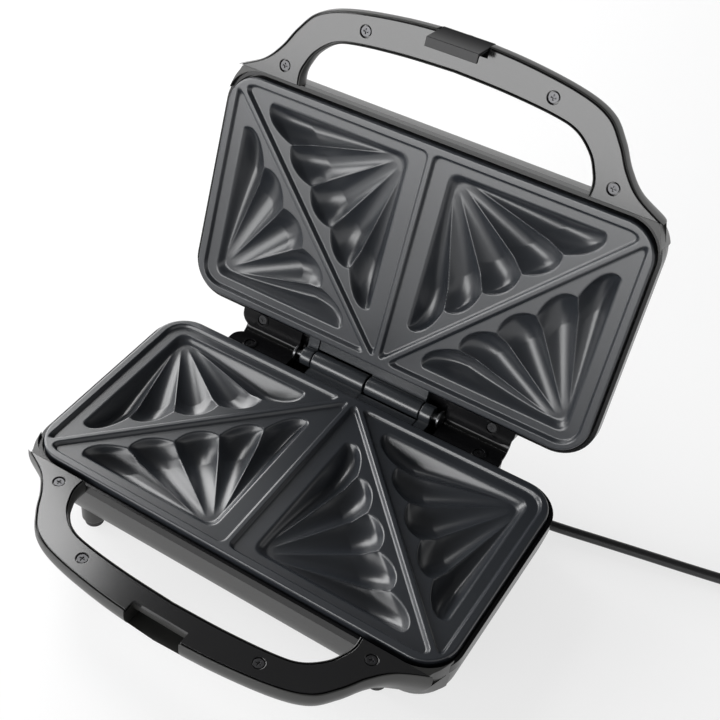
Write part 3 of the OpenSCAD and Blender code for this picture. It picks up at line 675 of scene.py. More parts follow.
@dataclass
class Cord:
    """The mains cord: its route over the table and its coil, in millimetres in the base half's frame.

    Attributes:
        layout: the sizes that both halves share.
        diameter: the cord's diameter.
        mid_radius: the coil's middle radius.
        pitch: from one turn of the coil to the next, and from one layer to the next.
        wound_in: turns before the path climbs to the second layer.
        wound_out: turns at the coil's end.
        climb_turns: the share of a turn over which the path climbs.
        steps: points in a turn.
        plug_lead: from the coil to the plug.
        relief_start: where the strain relief leaves the cover.
        relief_end: its tip.
        relief_wide: its radius by the cover.
        relief_narrow: its radius at the tip.
        relief_neck: its radius inside the cover's wall.
        relief_rings: rings moulded round it.
        ring_dip: how deep it dips between the rings.
        route: the cord's way from the strain relief to the coil.
    """

    layout: Layout
    diameter: float = 6.0
    mid_radius: float = 33.0
    pitch: float = 6.55
    wound_in: float = 1.75
    wound_out: float = 4.25
    climb_turns: float = 0.5
    steps: int = 24
    plug_lead: float = 9.0
    relief_start: float = 64.2
    relief_end: float = 91.0
    relief_wide: float = 5.0
    relief_narrow: float = 3.9
    relief_neck: float = 4.2
    relief_rings: int = 7
    ring_dip: float = 0.55
    route: list = field(
        default_factory=lambda: [
            (91, 9.5, -37), (94.5, 9.5, -37), (98, 9.5, -37), (104, 10.2, -38.4), (111, 12.4, -41.4),
            (118, 15.4, -44.8), (125, 18.6, -47.1), (136, 21.4, -47.8), (153, 25.1, -47.8),
            (177, 30.2, -47.8), (201.6, 35.3, -47.8), (222, 39.6, -47.6), (240, 43.4, -47.1),
            (248, 45.1, -46.8), (254, 46.4, -46.8), (260, 47.7, -46.8),
        ]
    )

    def coil(self) -> Array:
        """The coil and the lead to the plug.

        The radius falls by a pitch a turn, the path climbs a layer in the half turn where it turns back,
        and the radius grows again at the same rate.

        Returns:
            The points that follow the route.
        """
        end, before = np.array(self.route[-1]), np.array(self.route[-2])
        along = (end - before)[:2] / np.linalg.norm((end - before)[:2])
        outer = self.mid_radius + self.pitch * self.wound_in / 2
        middle = end[:2] + outer * np.array([-along[1], along[0]])
        start = math.atan2(-along[0], along[1])
        back = self.wound_in + self.climb_turns / 2
        turn = np.arange(2, int(self.wound_out * self.steps) + 1) / self.steps
        radius = outer - self.pitch * (back - np.abs(turn - back))
        rise = self.pitch * smooth_step((turn - self.wound_in) / self.climb_turns)
        angle = start + 2 * math.pi * turn
        turns = np.column_stack(
            [middle[0] + radius * np.cos(angle), middle[1] + radius * np.sin(angle), end[2] + rise]
        )
        out = np.array([-math.sin(angle[-1]), math.cos(angle[-1]), 0.0])
        plug = turns[-1] + self.plug_lead * out
        lead = end + self.diameter / 2 * np.array([*along, 0.0])
        return np.vstack([lead, turns, plug - self.diameter * out, plug])

    def build(self) -> None:
        route = smooth_line(self.route, 4)
        path = self.layout.place(np.vstack([route, self.coil()]), Half.BASE)
        curve = bpy.data.curves.new("mains_cord_flex", "CURVE")
        curve.dimensions = "3D"
        curve.bevel_depth = 1.0
        curve.bevel_resolution = 6
        curve.use_fill_caps = True
        spline = curve.splines.new("POLY")
        spline.points.add(len(path) - 1)
        spline.points.foreach_set("co", np.column_stack([path, np.ones(len(path))]).ravel())
        spline.points.foreach_set("radius", np.full(len(path), self.diameter / 2 * MM))
        made = linked("mains_cord_flex", curve)
        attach(made, "base")
        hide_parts("mains_cord", "cord_coil")
        FLEX.dress(made)
        plug, pins, tie = refined("mains_plug", 1.0), refined("plug_pins", 0.4), refined("cord_tie", 0.3)
        PLUG.dress(plug)
        BRASS.dress(pins)
        TIE.dress(tie)
        self.strain_relief()

    def strain_relief(self) -> None:
        """A taper along +x with rings moulded round it.

        The radius falls evenly and dips between the rings by ring_dip (1/2 + 1/2 cos) cubed, but for its ends.
        """
        start, end, neck = self.relief_start, self.relief_end, self.relief_neck
        x = np.linspace(start, end, 120)
        share = (x - start) / (end - start)
        ringed = (share > 0.07) & (share < 0.95)
        dip = self.ring_dip * (0.5 + 0.5 * np.cos(2 * math.pi * share * self.relief_rings)) ** 3 * ringed
        radius = self.relief_wide + (self.relief_narrow - self.relief_wide) * share - dip
        taper = np.column_stack([radius, x]).tolist()
        points, faces = revolve([[0, start - 2], [neck, start - 2], [neck, start], *taper, [0, end]], 40)
        exit_y, exit_z = self.route[0][1:]
        made = Shape("cord_strain_relief").add(points[:, [2, 0, 1]], faces, (0, exit_y, exit_z)).build(
            self.layout, Half.BASE, "base", 50
        )
        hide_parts("strain_relief")
        FLEX.dress(made)


# ---------------------------------------------------------------- cooking plates


@dataclass
class CookingPlate:
    """A cast plate with fluted triangular pockets, its hinge barrels and the ledge that carries them.

    Attributes:
        layout: the sizes that both halves share.
        pocket_side: from the plate's end or middle to a pocket's straight side.
        pocket_end: from the plate's front or back to a pocket's other straight side.
        pocket_diag: from the diagonal bar's middle to the scallops.
        flutes: flutes in a pocket.
        scallop_r: the radius of the scallops in plan.
        scallop_depth: the flutes' depth where they end.
        corner_depth: the pocket's depth by its corner.
        bar_w: width of the bars between the panels.
        leg_slope: steepness of the walls along the straight sides.
        end_slope: steepness of the walls behind the scallops.
        leg_share: depth of the floor along the straight sides as a share of the flutes'.
        lip_blend: rounding where a wall meets the panel.
        foot_blend: rounding where a wall meets the floor.
        corner_blend: rounding in the pocket's corner.
        wall_blend: rounding between the two kinds of wall.
        crest_round: half the width of a ridge's rounded crest.
        cusp_start: the share of the way at which the ridges start to rise.
        cusp_rise: how far they rise, as a share of their depth.
        fan_start: the share of the way at which the flutes start.
        fan_power: how slowly they deepen at first.
        round_start: the share of the way at which they start to end.
        panel_round: rounding of the panels' corners.
        panel_edge: width of the step between bar and panel.
        edge_round: rounding of the plate's edge.
        edge_foot: where the skirt's straight part starts, under the rim.
        cell: the top's grid.
        under_cell: the underside's grid.
        under_clear: how far the underside's grid stays from the edge.
        barrel_r: the hinge barrel's radius.
        barrel_end: half the length of the hinge's middle stretch.
        knuckle_l: length of the short knuckle.
        knuckle_gap: from barrel_end to each of its neighbours.
        ledge_drop: how far the ledge under the barrels lies under the rim.
        ledge_t: the ledge's thickness.
    """

    layout: Layout
    pocket_side: float = 13.0
    pocket_end: float = 12.0
    pocket_diag: float = 6.6
    flutes: int = 5
    scallop_r: float = 21.0
    scallop_depth: float = 10.0
    corner_depth: float = 3.8
    bar_w: float = 2.8
    leg_slope: float = 1.6
    end_slope: float = 2.6
    leg_share: float = 0.4
    lip_blend: float = 1.8
    foot_blend: float = 2.0
    corner_blend: float = 7.0
    wall_blend: float = 0.6
    crest_round: float = 0.45
    cusp_start: float = 0.84
    cusp_rise: float = 0.85
    fan_start: float = 0.15
    fan_power: float = 1.3
    round_start: float = 0.76
    panel_round: float = 4.5
    panel_edge: float = 1.5
    edge_round: float = 1.1
    edge_foot: float = 2.0
    cell: float = 0.45
    under_cell: float = 2.4
    under_clear: float = 3.0
    barrel_r: float = 5.6
    barrel_end: float = 36.5
    knuckle_l: float = 7.0
    knuckle_gap: float = 0.7
    ledge_drop: float = 6.0
    ledge_t: float = 4.8

    def pocket(self, u: Array, v: Array) -> Array:
        """Depth below the panel at u, v from a pocket's right-angled corner along its legs.

        A point lies at the fraction t of the way from the corner to the scalloped edge, and at the phase
        p from -1 to 1 across its flute. The floor is flat by the corner. Ridges keep its depth until they
        rise to the scallops' cusps, valleys deepen with t and end in a quarter ellipse, and 1 - p squared
        blends from ridge to valley, with the crest rounded. Walls along the legs and the scallops rise to
        the panel: the depth is the smaller of flute and wall, with the lip above and the foot below rounded.

        Args:
            u: distances along the leg across the plate.
            v: distances along the leg from front to back.

        Returns:
            The depth, zero outside the pocket.
        """
        cell_w, depth = self.layout.plate_w / 2, self.layout.plate_d
        diagonal = math.hypot(cell_w, depth)
        along = np.array([cell_w, -depth]) / diagonal
        across = np.array([depth, cell_w]) / diagonal
        reach = (depth - self.pocket_end) * across[1] - self.pocket_side * across[0] - self.pocket_diag
        low, high = -across[0] * reach / along[0], -across[1] * reach / along[1]
        pitch = (high - low) / self.flutes
        sag = self.scallop_r - math.sqrt(self.scallop_r**2 - (pitch / 2) ** 2)
        plain = np.maximum((u * across[0] + v * across[1]) / reach, 1e-3)
        place = ((u * along[0] + v * along[1]) / plain - low) / pitch
        flute = np.floor(np.clip(place, 0, self.flutes - 1e-6))
        phase = 2 * (place - flute) - 1
        t = plain / (1 - sag * np.clip(phase, -1, 1) ** 2 / reach)
        rise = smooth_step((t - self.cusp_start) / (1 - self.cusp_start))
        ridge = self.corner_depth * (1 - self.cusp_rise * rise)
        ending = np.clip((t - self.round_start) / (1 - self.round_start), 0, 1)
        spread = np.clip((t - self.fan_start) / (self.round_start - self.fan_start), 0, 1)
        valley = np.where(
            t < self.round_start,
            self.corner_depth + (self.scallop_depth - self.corner_depth) * spread**self.fan_power,
            self.scallop_depth * np.sqrt(1 - ending**2),
        )
        by_leg = ((flute == 0) & (phase < 0)) | ((flute == self.flutes - 1) & (phase > 0))
        side = np.where(by_leg, np.maximum(ridge, self.leg_share * valley), ridge)
        crest = np.clip(self.crest_round / (pitch * np.maximum(plain, 0.02) / 2), 0.01, 0.6)
        gap = np.clip(1 - np.abs(phase), 0, 1)
        gap = np.where((gap < crest) & ~by_leg, (gap**2 + crest**2) / (2 * crest), gap)
        hollow = side + (np.maximum(valley, side) - side) * (1 - (1 - gap) ** 2)
        level = np.zeros_like(hollow)
        legs = soft_max(self.leg_slope * soft_min(u, v, self.corner_blend), level, self.lip_blend)
        end = soft_max(self.end_slope * (1 - t) * reach, level, self.lip_blend)
        wall = soft_min(legs, end, self.wall_blend)
        return np.maximum(soft_min(hollow, wall, self.foot_blend), 0.0)

    def height(self, x: Array, y: Array) -> Array:
        """Height of the plate's top.

        The rim's height less a smooth step down to each sunk panel, with bars left along the middle and
        the diagonals, less the pockets' depth.

        Args:
            x: distances across from the middle.
            y: distances from the back edge, negative towards the front.

        Returns:
            The heights.
        """
        lay = self.layout
        cell_w, depth = lay.plate_w / 2, lay.plate_d
        ax = np.abs(x)
        diagonal = math.hypot(cell_w, depth)
        side = (ax * depth + y * cell_w) / diagonal
        inner_x, inner_front, inner_back = cell_w - lay.rim_w, -depth + lay.rim_w, -lay.rim_w
        cut = 1.5 * lay.rim_w
        back_corner = ((ax - inner_x) + (y - inner_back) + cut) / math.sqrt(2)
        front_corner = ((ax - inner_x) + (inner_front - y) + cut) / math.sqrt(2)
        k = self.panel_round
        frame = soft_max(ax - inner_x, soft_max(y - inner_back, back_corner, k), k)
        back = soft_max(self.bar_w / 2 - side, frame, k)
        frame = soft_max(self.bar_w / 2 - ax, soft_max(inner_front - y, front_corner, k), k)
        front = soft_max(side + self.bar_w / 2, frame, k)
        sunk = smooth_step(-np.minimum(back, front) / self.panel_edge + 0.1)
        z = lay.rim_z - lay.panel_drop * sunk
        z -= self.pocket(ax - self.pocket_side, y + depth - self.pocket_end)
        z -= self.pocket(cell_w - self.pocket_side - ax, -self.pocket_end - y)
        return z

    def edge_distance(self, x: Array, y: Array) -> Array:
        """How far points lie inside the plate's rounded outline.

        Args:
            x: distances across from the middle.
            y: distances from the back edge, negative towards the front.

        Returns:
            The distances, negative outside.
        """
        lay = self.layout
        half = np.array([lay.plate_w / 2, lay.plate_d / 2])
        qx = np.abs(x) - half[0] + lay.plate_corner
        qy = np.abs(y + half[1]) - half[1] + lay.plate_corner
        outside = np.hypot(np.maximum(qx, 0), np.maximum(qy, 0))
        return lay.plate_corner - outside - np.minimum(np.maximum(qx, qy), 0)

    def casting(self, side: int) -> tuple[Array, list]:
        """One side of the plate as a closed shell, from its middle to its end.

        The top is an even grid drawn into the rounded outline, its height worked out at each point. A
        skirt drops from its border. The underside follows the lowest height near each point of a coarse
        grid, less the wall's thickness, and is joined to the skirt's foot by triangles.

        Args:
            side: -1 for the left side and 1 for the right.

        Returns:
            The points and the faces.
        """
        lay = self.layout
        nx, ny = int(lay.plate_w / 2 / self.cell), int(lay.plate_d / self.cell)
        across, back = np.linspace(0, lay.plate_w / 2, nx + 1), np.linspace(-lay.plate_d, 0, ny + 1)
        x, y = squeeze_to_outline(*np.meshgrid(side * across, back), lay)
        inside = np.clip(self.edge_distance(x, y), 0, None)
        r = self.edge_round
        drop = np.where(inside < r, r - np.sqrt(np.clip(r**2 - (r - inside) ** 2, 0, None)), 0.0)
        z = self.height(x, y)
        points = np.stack([x, y, z - drop], axis=-1).reshape(-1, 3)
        faces = strip_faces(ny + 1, nx + 1, False)
        row, column = nx + 1, np.arange(ny)
        border = np.concatenate(
            [np.arange(nx), nx + row * column, row * (ny + 1) - 1 - np.arange(nx), row * (ny - column)]
        )
        rings, count = [border], len(points)
        for level in (-self.edge_foot, -lay.skirt_h):
            points = np.vstack([points, points[border] * [1, 1, 0] + [0, 0, lay.rim_z + level]])
            rings.append(np.arange(count, count + len(border)))
            count += len(border)
        for upper, lower in zip(rings, rings[1:]):
            faces += np.stack([upper, np.roll(upper, -1), np.roll(lower, -1), lower], axis=-1).tolist()
        low, step = z, int(self.under_cell / self.cell)
        for axis in (0, 1):
            low = np.min([np.roll(low, shift, axis) for shift in range(-step, step + 1)], axis=0)
        picked = np.stack([x, y, low - lay.plate_wall], axis=-1)[step:-step:step, step:-step:step].reshape(-1, 3)
        inside = np.minimum(self.edge_distance(picked[:, 0], picked[:, 1]), np.abs(picked[:, 0]))
        picked = picked[inside > self.under_clear]
        flat = np.vstack([points[rings[-1], :2], picked[:, :2]])
        loop = [(k, (k + 1) % len(border)) for k in range(len(border))]
        _, _, under, origin, _, _ = delaunay_2d_cdt([Vector(q) for q in flat.tolist()], loop, [], 1, 1e-6)
        number = np.concatenate([rings[-1], np.arange(count, count + len(picked))])
        faces += [[int(number[origin[k][0]]) for k in face] for face in under]
        return np.vstack([points, picked]), faces

    def knuckles(self, shape: Shape) -> None:
        """Adds the barrel and the short knuckle with their webs, and the ledge that joins them to the plate.

        Args:
            shape: the shape that they are added to.
        """
        lay, end, gap = self.layout, self.barrel_end, self.knuckle_gap
        low = lay.rim_z - self.ledge_drop
        for start, length in ((-end, end - gap), (end + gap, self.knuckle_l)):
            points, faces = rounded_bar(length, self.barrel_r, 0.5)
            shape.add(points, faces, (start, lay.hinge_set, 0))
            shape.add(*block((start, -lay.plate_wall, low), (start + length, lay.hinge_set, low + self.ledge_t)))
        # The ledge's faces lie a little off the webs', so that no two lie in one plane.
        shape.add(
            *block(
                (-end - 0.1, -lay.plate_wall - 0.2, low + 0.3),
                (end - 0.1, lay.hinge_set - self.barrel_r - 0.8, low + self.ledge_t - 0.3),
            )
        )

    def build(self, half: Half) -> None:
        """Makes the plate and its knuckles for one half; the lid's is mirrored from side to side.

        Args:
            half: the half that it is made for.
        """
        node = "lower_plate" if half is Half.BASE else "upper_plate"
        for side, word in ((-1, "left"), (1, "right")):
            casting = Shape(f"{half.value}_plate_{word}").add(*self.casting(side)).build(
                self.layout, half, half.value, 60
            )
            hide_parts(node)
            COATING.dress(casting)
            log.info("%s: %d faces", casting.name, len(casting.data.polygons))
        hinge = Shape(f"{half.value}_plate_knuckles")
        self.knuckles(hinge)
        if half is Half.LID:
            hinge.points = [p * [-1, 1, 1] for p in hinge.points]
        barrels = hinge.build(self.layout, half, half.value, 40)
        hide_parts(node)
        BARREL.dress(barrels)


def soft_max(a: Array, b: Array, k: float) -> Array:
    """The larger of a and b, raised where they differ by less than k: + k/4 (1 - |a - b| / k) squared."""
    return np.maximum(a, b) + k / 4 * np.clip(1 - np.abs(a - b) / k, 0, None) ** 2


def soft_min(a: Array, b: Array, k: float) -> Array:
    """The smaller of a and b with a rounded changeover, as in soft_max."""
    return -soft_max(-a, -b, k)


def smooth_step(t: Array) -> Array:
    """0 below 0, 1 above 1, and a cubic without corners between."""
    t = np.clip(t, 0, 1)
    return t * t * (3 - 2 * t)


def squeeze_to_outline(x: Array, y: Array, lay: Layout) -> tuple[Array, Array]:
    """Draws a rectangle's even grid into the rounded outline.

    Points beyond a corner's arc centre keep their direction from it, and their distance is scaled from the
    square corner's to the arc's, which leaves the grid even away from the corners.

    Args:
        x: the grid's distances across from the middle.
        y: its distances from the back edge.
        lay: the sizes that both halves share.

    Returns:
        The new x and y.
    """
    r = lay.plate_corner
    cx, cy = lay.plate_w / 2 - r, lay.plate_d / 2 - r
    dx, dy = np.abs(x) - cx, np.abs(y + lay.plate_d / 2) - cy
    beyond = (dx > 0) & (dy > 0)
    safe = np.maximum(np.hypot(dx, dy), 1e-9)
    scale = np.where(beyond, np.maximum(dx, dy) / safe, 1.0)
    new_x = np.where(beyond, np.sign(x) * (cx + dx * scale), x)
    new_y = np.where(beyond, -lay.plate_d / 2 + np.sign(y + lay.plate_d / 2) * (cy + dy * scale), y)
    return new_x, new_y


# ---------------------------------------------------------------- housing and handles


@dataclass(frozen=True)
class Notch:
    """The room for the latch clip in a handle.

    Attributes:
        room: clearance on each side of the clip.
        back: how far the notch reaches in from the handle's front.
        drop: its depth under the handle's face.
    """

    room: float
    back: float
    drop: float


NOTCHES = {Half.BASE: Notch(2.0, 7.5, 13.0), Half.LID: Notch(0.5, 5.7, 10.0)}


@dataclass
class Housing:
    """The cover of one half: its bowl, the bow handle that grows out of it and the handle's face plate.

    Attributes:
        layout: the sizes that both halves share.
        outer_points: the handle's outer line on the right, from its front.
        inner_points: the line of its opening.
        wall: the bowl's profile, as the share of its height and the inset there.
        section: the handle's profile, as the share of its height and how far it stands out.
        screws: the face plate's screws on the right, from the handle's front.
        lip_round: rounding of the cover's rim round the face plate.
        seam: from the face plate to that rim.
        tail: how far the handle runs on into the bowl, and how far its outer line turns out there.
        screw_hole: the radius of the holes in the face plate.
        screw_floor: how deep they are.
        ear_in: where an ear's block starts, across.
        ear_out: where it ends.
        ear_round: the radius of its corner.
        ear_low: its underside.
        vent_w: width of the vents in the underside.
        vent_x: their places across.
        pad: the foot pads' profile, as radius and height.
        cord_block: two corners of the block that carries the cord's exit.
        hook_back: how far the room for the clip's hook reaches in.
        hook_top: its top under the handle's face.
        shroud_r: the hinge aprons' inner radius.
        shroud_t: their thickness.
        shroud_x: half their length.
        shroud_end: the angle at which they end.
        feet: places of the feet, across and as a share of the plate's depth.
    """

    layout: Layout
    outer_points: list = field(
        default_factory=lambda: [(0, 0), (34, 2.1), (66, 6.8), (84, 13.3), (94, 24.3), (101.5, 36.3), (111, 46.3)]
    )
    inner_points: list = field(
        default_factory=lambda: [(0, 16.8), (30, 18), (58, 20.8), (72, 24.6), (82, 33), (87, 42), (88.7, 48)]
    )
    wall: tuple = ((0, 0), (0.3, 1.6), (0.55, 3.3), (0.74, 6), (0.88, 11.5), (0.965, 18.5), (1, 26))
    section: tuple = ((0, 0), (0.3, 0.2), (0.55, -1.2), (0.78, -4), (0.95, -6.6), (1, -7.6))
    screws: tuple = ((54.7, 13.2), (98.3, 46.2))
    lip_round: float = 0.6
    seam: float = 0.8
    tail: tuple = (11.0, 3.5)
    screw_hole: float = 3.4
    screw_floor: float = 1.4
    ear_in: float = 50.0
    ear_out: float = 92.0
    ear_round: float = 8.0
    ear_low: float = -22.0
    vent_w: float = 3.2
    vent_x: tuple = tuple(range(-45, 46, 15))
    pad: tuple = ((0, -46.5), (6.4, -46.5), (7, -45.9), (7, -34.5), (0, -34.5))
    cord_block: tuple = ((40, -30, -46.5), (64, 17.7, -28.8))
    hook_back: float = 11.5
    hook_top: float = 6.4
    shroud_r: float = 7.6
    shroud_t: float = 1.2
    shroud_x: float = 90.0
    shroud_end: float = -53.7
    feet: tuple = ((-94, -0.935), (94, -0.935), (-94, -0.0363), (94, -0.0363))

    def lines(self) -> tuple[Array, Array]:
        """The face plate's outer and inner lines on the right side.

        Returns:
            The two lines from the middle to the tip.
        """
        lay = self.layout
        front, end = [0, lay.handle_front], lay.body_front - 0.3
        outer = np.vstack([np.add(self.outer_points, front), [lay.plate_w / 2 + lay.overhang - 7, end]])
        inner = np.vstack([np.add(self.inner_points, front), [88.5, end]])
        return smooth_line(outer, 10), smooth_line(inner, 10)

    def face_outline(self) -> Array:
        """The closed outline of the face plate, both sides."""
        outer, inner = self.lines()
        return np.vstack([outer, inner[::-1], (inner * [-1, 1])[1:], (outer * [-1, 1])[::-1][:-1]])

    def grip(self) -> tuple[Array, list]:
        """The handle's shell: one closed section carried round the handle.

        The section goes up the seat of the face plate, over the thin rim, down the outer wall and under;
        each level stands out beyond the face plate's line by the given amount, and never past the middle.

        Returns:
            The points and the faces.
        """
        lay = self.layout
        outer, inner = self.lines()
        more = np.linspace(0, 1, 5)[1:, None]
        run, turn_out = self.tail
        outer = np.vstack([outer, outer[-1] + more * [turn_out, run]])
        inner = np.vstack([inner, inner[-1] + more * [0, run]])
        outer = np.vstack([outer[::-1], (outer * [-1, 1])[1:]])
        inner = np.vstack([inner[::-1], (inner * [-1, 1])[1:]])
        way = outer - inner
        half = np.linalg.norm(way, axis=1, keepdims=True) / 2
        way /= 2 * half
        levels = smooth_line(self.section, 5)
        out = lay.handle_rim + levels[:, 1]
        z = -lay.face_top - levels[:, 0] * lay.handle_depth
        bend = np.radians(np.linspace(0, 90, 5))
        lip, top = self.lip_round, -lay.face_top
        below = z < top - 0.9
        out = np.concatenate([[self.seam, self.seam, 0.9], lay.handle_rim - lip + lip * np.sin(bend), out[below]])
        z = np.concatenate([[top - lay.face_t, top - 0.2, top], top - lip + lip * np.cos(bend), z[below]])
        off = np.maximum(out[None, :], self.seam - half)
        level = np.broadcast_to(z[None, :, None], (*off.shape, 1))
        outside = np.concatenate([outer[:, None, :] + way[:, None, :] * off[..., None], level], axis=-1)
        inside = np.concatenate([inner[:, None, :] - way[:, None, :] * off[..., None], level], axis=-1)
        return loft(np.concatenate([outside, inside[:, ::-1]], axis=1))

    def bowl(self) -> tuple[Array, list]:
        """The cover's bowl as a wall of even thickness that is open towards the plate.

        Its levels are rounded rectangles that draw in faster and faster towards the flat. They run from
        the inside's floor up to the rim and down the outside.

        Returns:
            The points and the faces.
        """
        lay = self.layout
        profile = smooth_line(self.wall, 5)
        height, t = lay.half_h - lay.cover_top, lay.cover_wall
        inner = np.column_stack([profile[:, 1] + t, -lay.cover_top - profile[:, 0] * (height - t)])[::-1]
        outer = np.column_stack([profile[:, 1], -lay.cover_top - profile[:, 0] * height])
        body_x = lay.plate_w / 2 + lay.overhang
        corner = lay.plate_corner + lay.overhang
        rings = []
        for inset, level in np.vstack([inner, outer]):
            ring = rounded_rectangle(
                body_x - inset, lay.body_front + inset, lay.overhang - inset, max(corner - inset / 2, 4), 14
            )
            rings.append(at_height(ring, level))
        return loft(np.stack(rings))

    def ear_blocks(self) -> list:
        """The blocks under the frame's ears, with rounded outer corners.

        Returns:
            The left and the right block, each its points and faces.
        """
        lay, r = self.layout, self.ear_round
        start, end = 0.6, lay.hinge_set - 0.4
        arc = np.radians(np.linspace(0, 90, 10))
        bend = np.column_stack([self.ear_out - r + r * np.cos(arc), end - r + r * np.sin(arc)])
        outline = np.vstack([[self.ear_in, start], [self.ear_out, start], bend, [self.ear_in, end]])
        return [prism(outline * [side, 1], self.ear_low, -lay.cover_top) for side in (-1, 1)]

    def cut_out(self, made: bpy.types.Object, half: Half, tools: list, angle: float = 35.0) -> None:
        """Cuts shells in millimetres in the half's own frame out of an object, as carve does."""
        carve(made, [(self.layout.place(points, half), faces) for points, faces in tools], angle)

    def build_cover(self, half: Half) -> None:
        """Makes the bowl, the handle's shell and the blocks of one half, with their cuts.

        Args:
            half: the half that they are made for.
        """
        lay, notch = self.layout, NOTCHES[half]
        node = f"{half.value}_cover"
        handle = Shape(f"{half.value}_handle_shell").add(*self.grip()).build(lay, half, half.value)
        bowl = Shape(f"{half.value}_bowl").add(*self.bowl()).build(lay, half, half.value)
        front, face, room = lay.handle_front, -lay.face_top, lay.clip_w / 2 + notch.room
        cuts = [
            block((-145, lay.body_front - 0.2, -lay.cover_top), (145, 20, 3)),
            block((-room, front - 12, face - notch.drop), (room, front + notch.back, 3)),
        ]
        if half is Half.BASE:
            cuts.append(
                block(
                    (-room, front + notch.back - 1, face - notch.drop),
                    (room, front + self.hook_back, face - self.hook_top),
                )
            )
            wide, start, end = self.vent_w / 2, -0.62 * lay.plate_d, -0.4 * lay.plate_d
            self.cut_out(bowl, half, [block((x - wide, start, -50), (x + wide, end, -40)) for x in self.vent_x])
        self.cut_out(handle, half, cuts)
        extras = Shape(f"{half.value}_cover_furniture")
        for ear in self.ear_blocks():
            extras.add(*ear)
        if half is Half.BASE:
            for x, share in self.feet:
                extras.add(*revolve(self.pad), (x, share * lay.plate_d, 0))
            extras.add(*block(*self.cord_block))
        trim = extras.build(lay, half, half.value)
        bevel(trim, 0.8)
        for made in (handle, bowl, trim):
            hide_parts(node)
        HOUSING.dress(handle, bowl, trim)

    def build_shoulders(self, half: Half) -> None:
        """Fills the corners between the handle's tips and the frame's rounded corners.

        A shoulder's outline runs from the handle along a curve to the frame's side and back along an arc
        just outside the frame. Further down the curve is drawn onto the bowl's corner.

        Args:
            half: the half that they are made for.
        """
        lay = self.layout
        middle = np.array([lay.plate_w / 2 - lay.plate_corner, -lay.plate_d + lay.plate_corner])
        reach = lay.plate_corner + lay.overhang
        corner = [lay.plate_w / 2 + lay.overhang, lay.body_front]
        way = [(-26, -0.3), (-16, -0.3), (-8.6, -0.3), (-6.3, 3), (-4.3, 6.8), (-2.8, 11), (-1.73, 14.83)]
        curve = smooth_line(np.add(way, corner), 6)
        turn = np.linspace(-21, -92, len(curve))
        angle = np.radians(turn)
        outside = reach + np.interp(turn, [-38, -21], [0.33, -0.3])[:, None]
        arc = middle + outside * np.column_stack([np.cos(angle), np.sin(angle)])
        toward = curve - middle
        low = middle + toward / np.linalg.norm(toward, axis=1, keepdims=True) * (reach - 1.6)
        deep = middle + (arc - middle) * (reach - 4) / (reach + 0.35)
        levels = ((curve, arc, -2.3), (curve, arc, -lay.cover_top), (low, deep, -26.0))
        points, faces = loft(np.stack([at_height(np.vstack([outer, inner]), z) for outer, inner, z in levels]))
        shape = Shape(f"{half.value}_cover_shoulders")
        for side in (-1, 1):
            shape.add(points * [side, 1, 1], faces)
        made = shape.build(lay, half, half.value)
        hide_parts(f"{half.value}_cover")
        HOUSING.dress(made)

    def build_shroud(self, half: Half) -> None:
        """The frame's black apron round the back of the barrels.

        Its section runs level from the frame to under the hinge axis and on round the axis, as far as the
        other half's apron when the toaster stands open. It is carried across from ear to ear.

        Args:
            half: the half that it is made for.
        """
        lay = self.layout
        arc = np.radians(np.linspace(-90, self.shroud_end, 12))
        inner, outer = (
            np.vstack([[2.0, -r], np.column_stack([lay.hinge_set + r * np.cos(arc), r * np.sin(arc)])])
            for r in (self.shroud_r, self.shroud_r + self.shroud_t)
        )
        points, faces = prism(np.vstack([inner, outer[::-1]]), -self.shroud_x, self.shroud_x)
        made = Shape(f"{half.value}_hinge_apron").add(points[:, [2, 0, 1]], faces).build(lay, half, half.value)
        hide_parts(f"{half.value}_frame")
        GLOSS.dress(made)

    def build_face(self, half: Half) -> None:
        """Makes the handle's face plate, with recessed screw holes and the latch's notch.

        Args:
            half: the half that it is made for.
        """
        lay, notch = self.layout, NOTCHES[half]
        spots = [(side * x, lay.handle_front + y) for side in (-1, 1) for x, y in self.screws]
        holes = [circle(x, y, self.screw_hole) for x, y in spots]
        points, faces = flat_plate(self.face_outline(), holes, lay.face_t, 0.35)
        shape = Shape(f"{half.value}_handle_face").add(points, faces, (0, 0, -lay.face_top))
        wide, top, low = self.screw_hole + 0.2, -self.screw_floor, -lay.face_t
        for x, y in spots:
            shape.add(*revolve([(0, low), (wide, low), (wide, top), (0, top)], 40), (x, y, -lay.face_top))
        made = shape.build(lay, half, half.value, 11)
        room = lay.clip_w / 2 + notch.room
        cut = block((-room, lay.handle_front - 10, -12), (room, lay.handle_front + notch.back, 8))
        self.cut_out(made, half, [cut], 11)
        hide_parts(f"{half.value}_handle_plate")
        FACE.dress(made)


# ---------------------------------------------------------------- everything carried over from the frame


@dataclass(frozen=True)
class Fittings:
    """Frame pieces whose shapes stay: each gets joined faces, rounded edges and its finish.

    Attributes:
        finish: the finish that the pieces share.
        edge: the rounding of their edges in millimetres, or 0 for none.
        nodes: the nodes that they stand for.
    """

    finish: Finish
    edge: float
    nodes: tuple

    def build(self) -> None:
        """Dresses every node of the group."""
        for node in self.nodes:
            self.finish.dress(refined(node, self.edge))


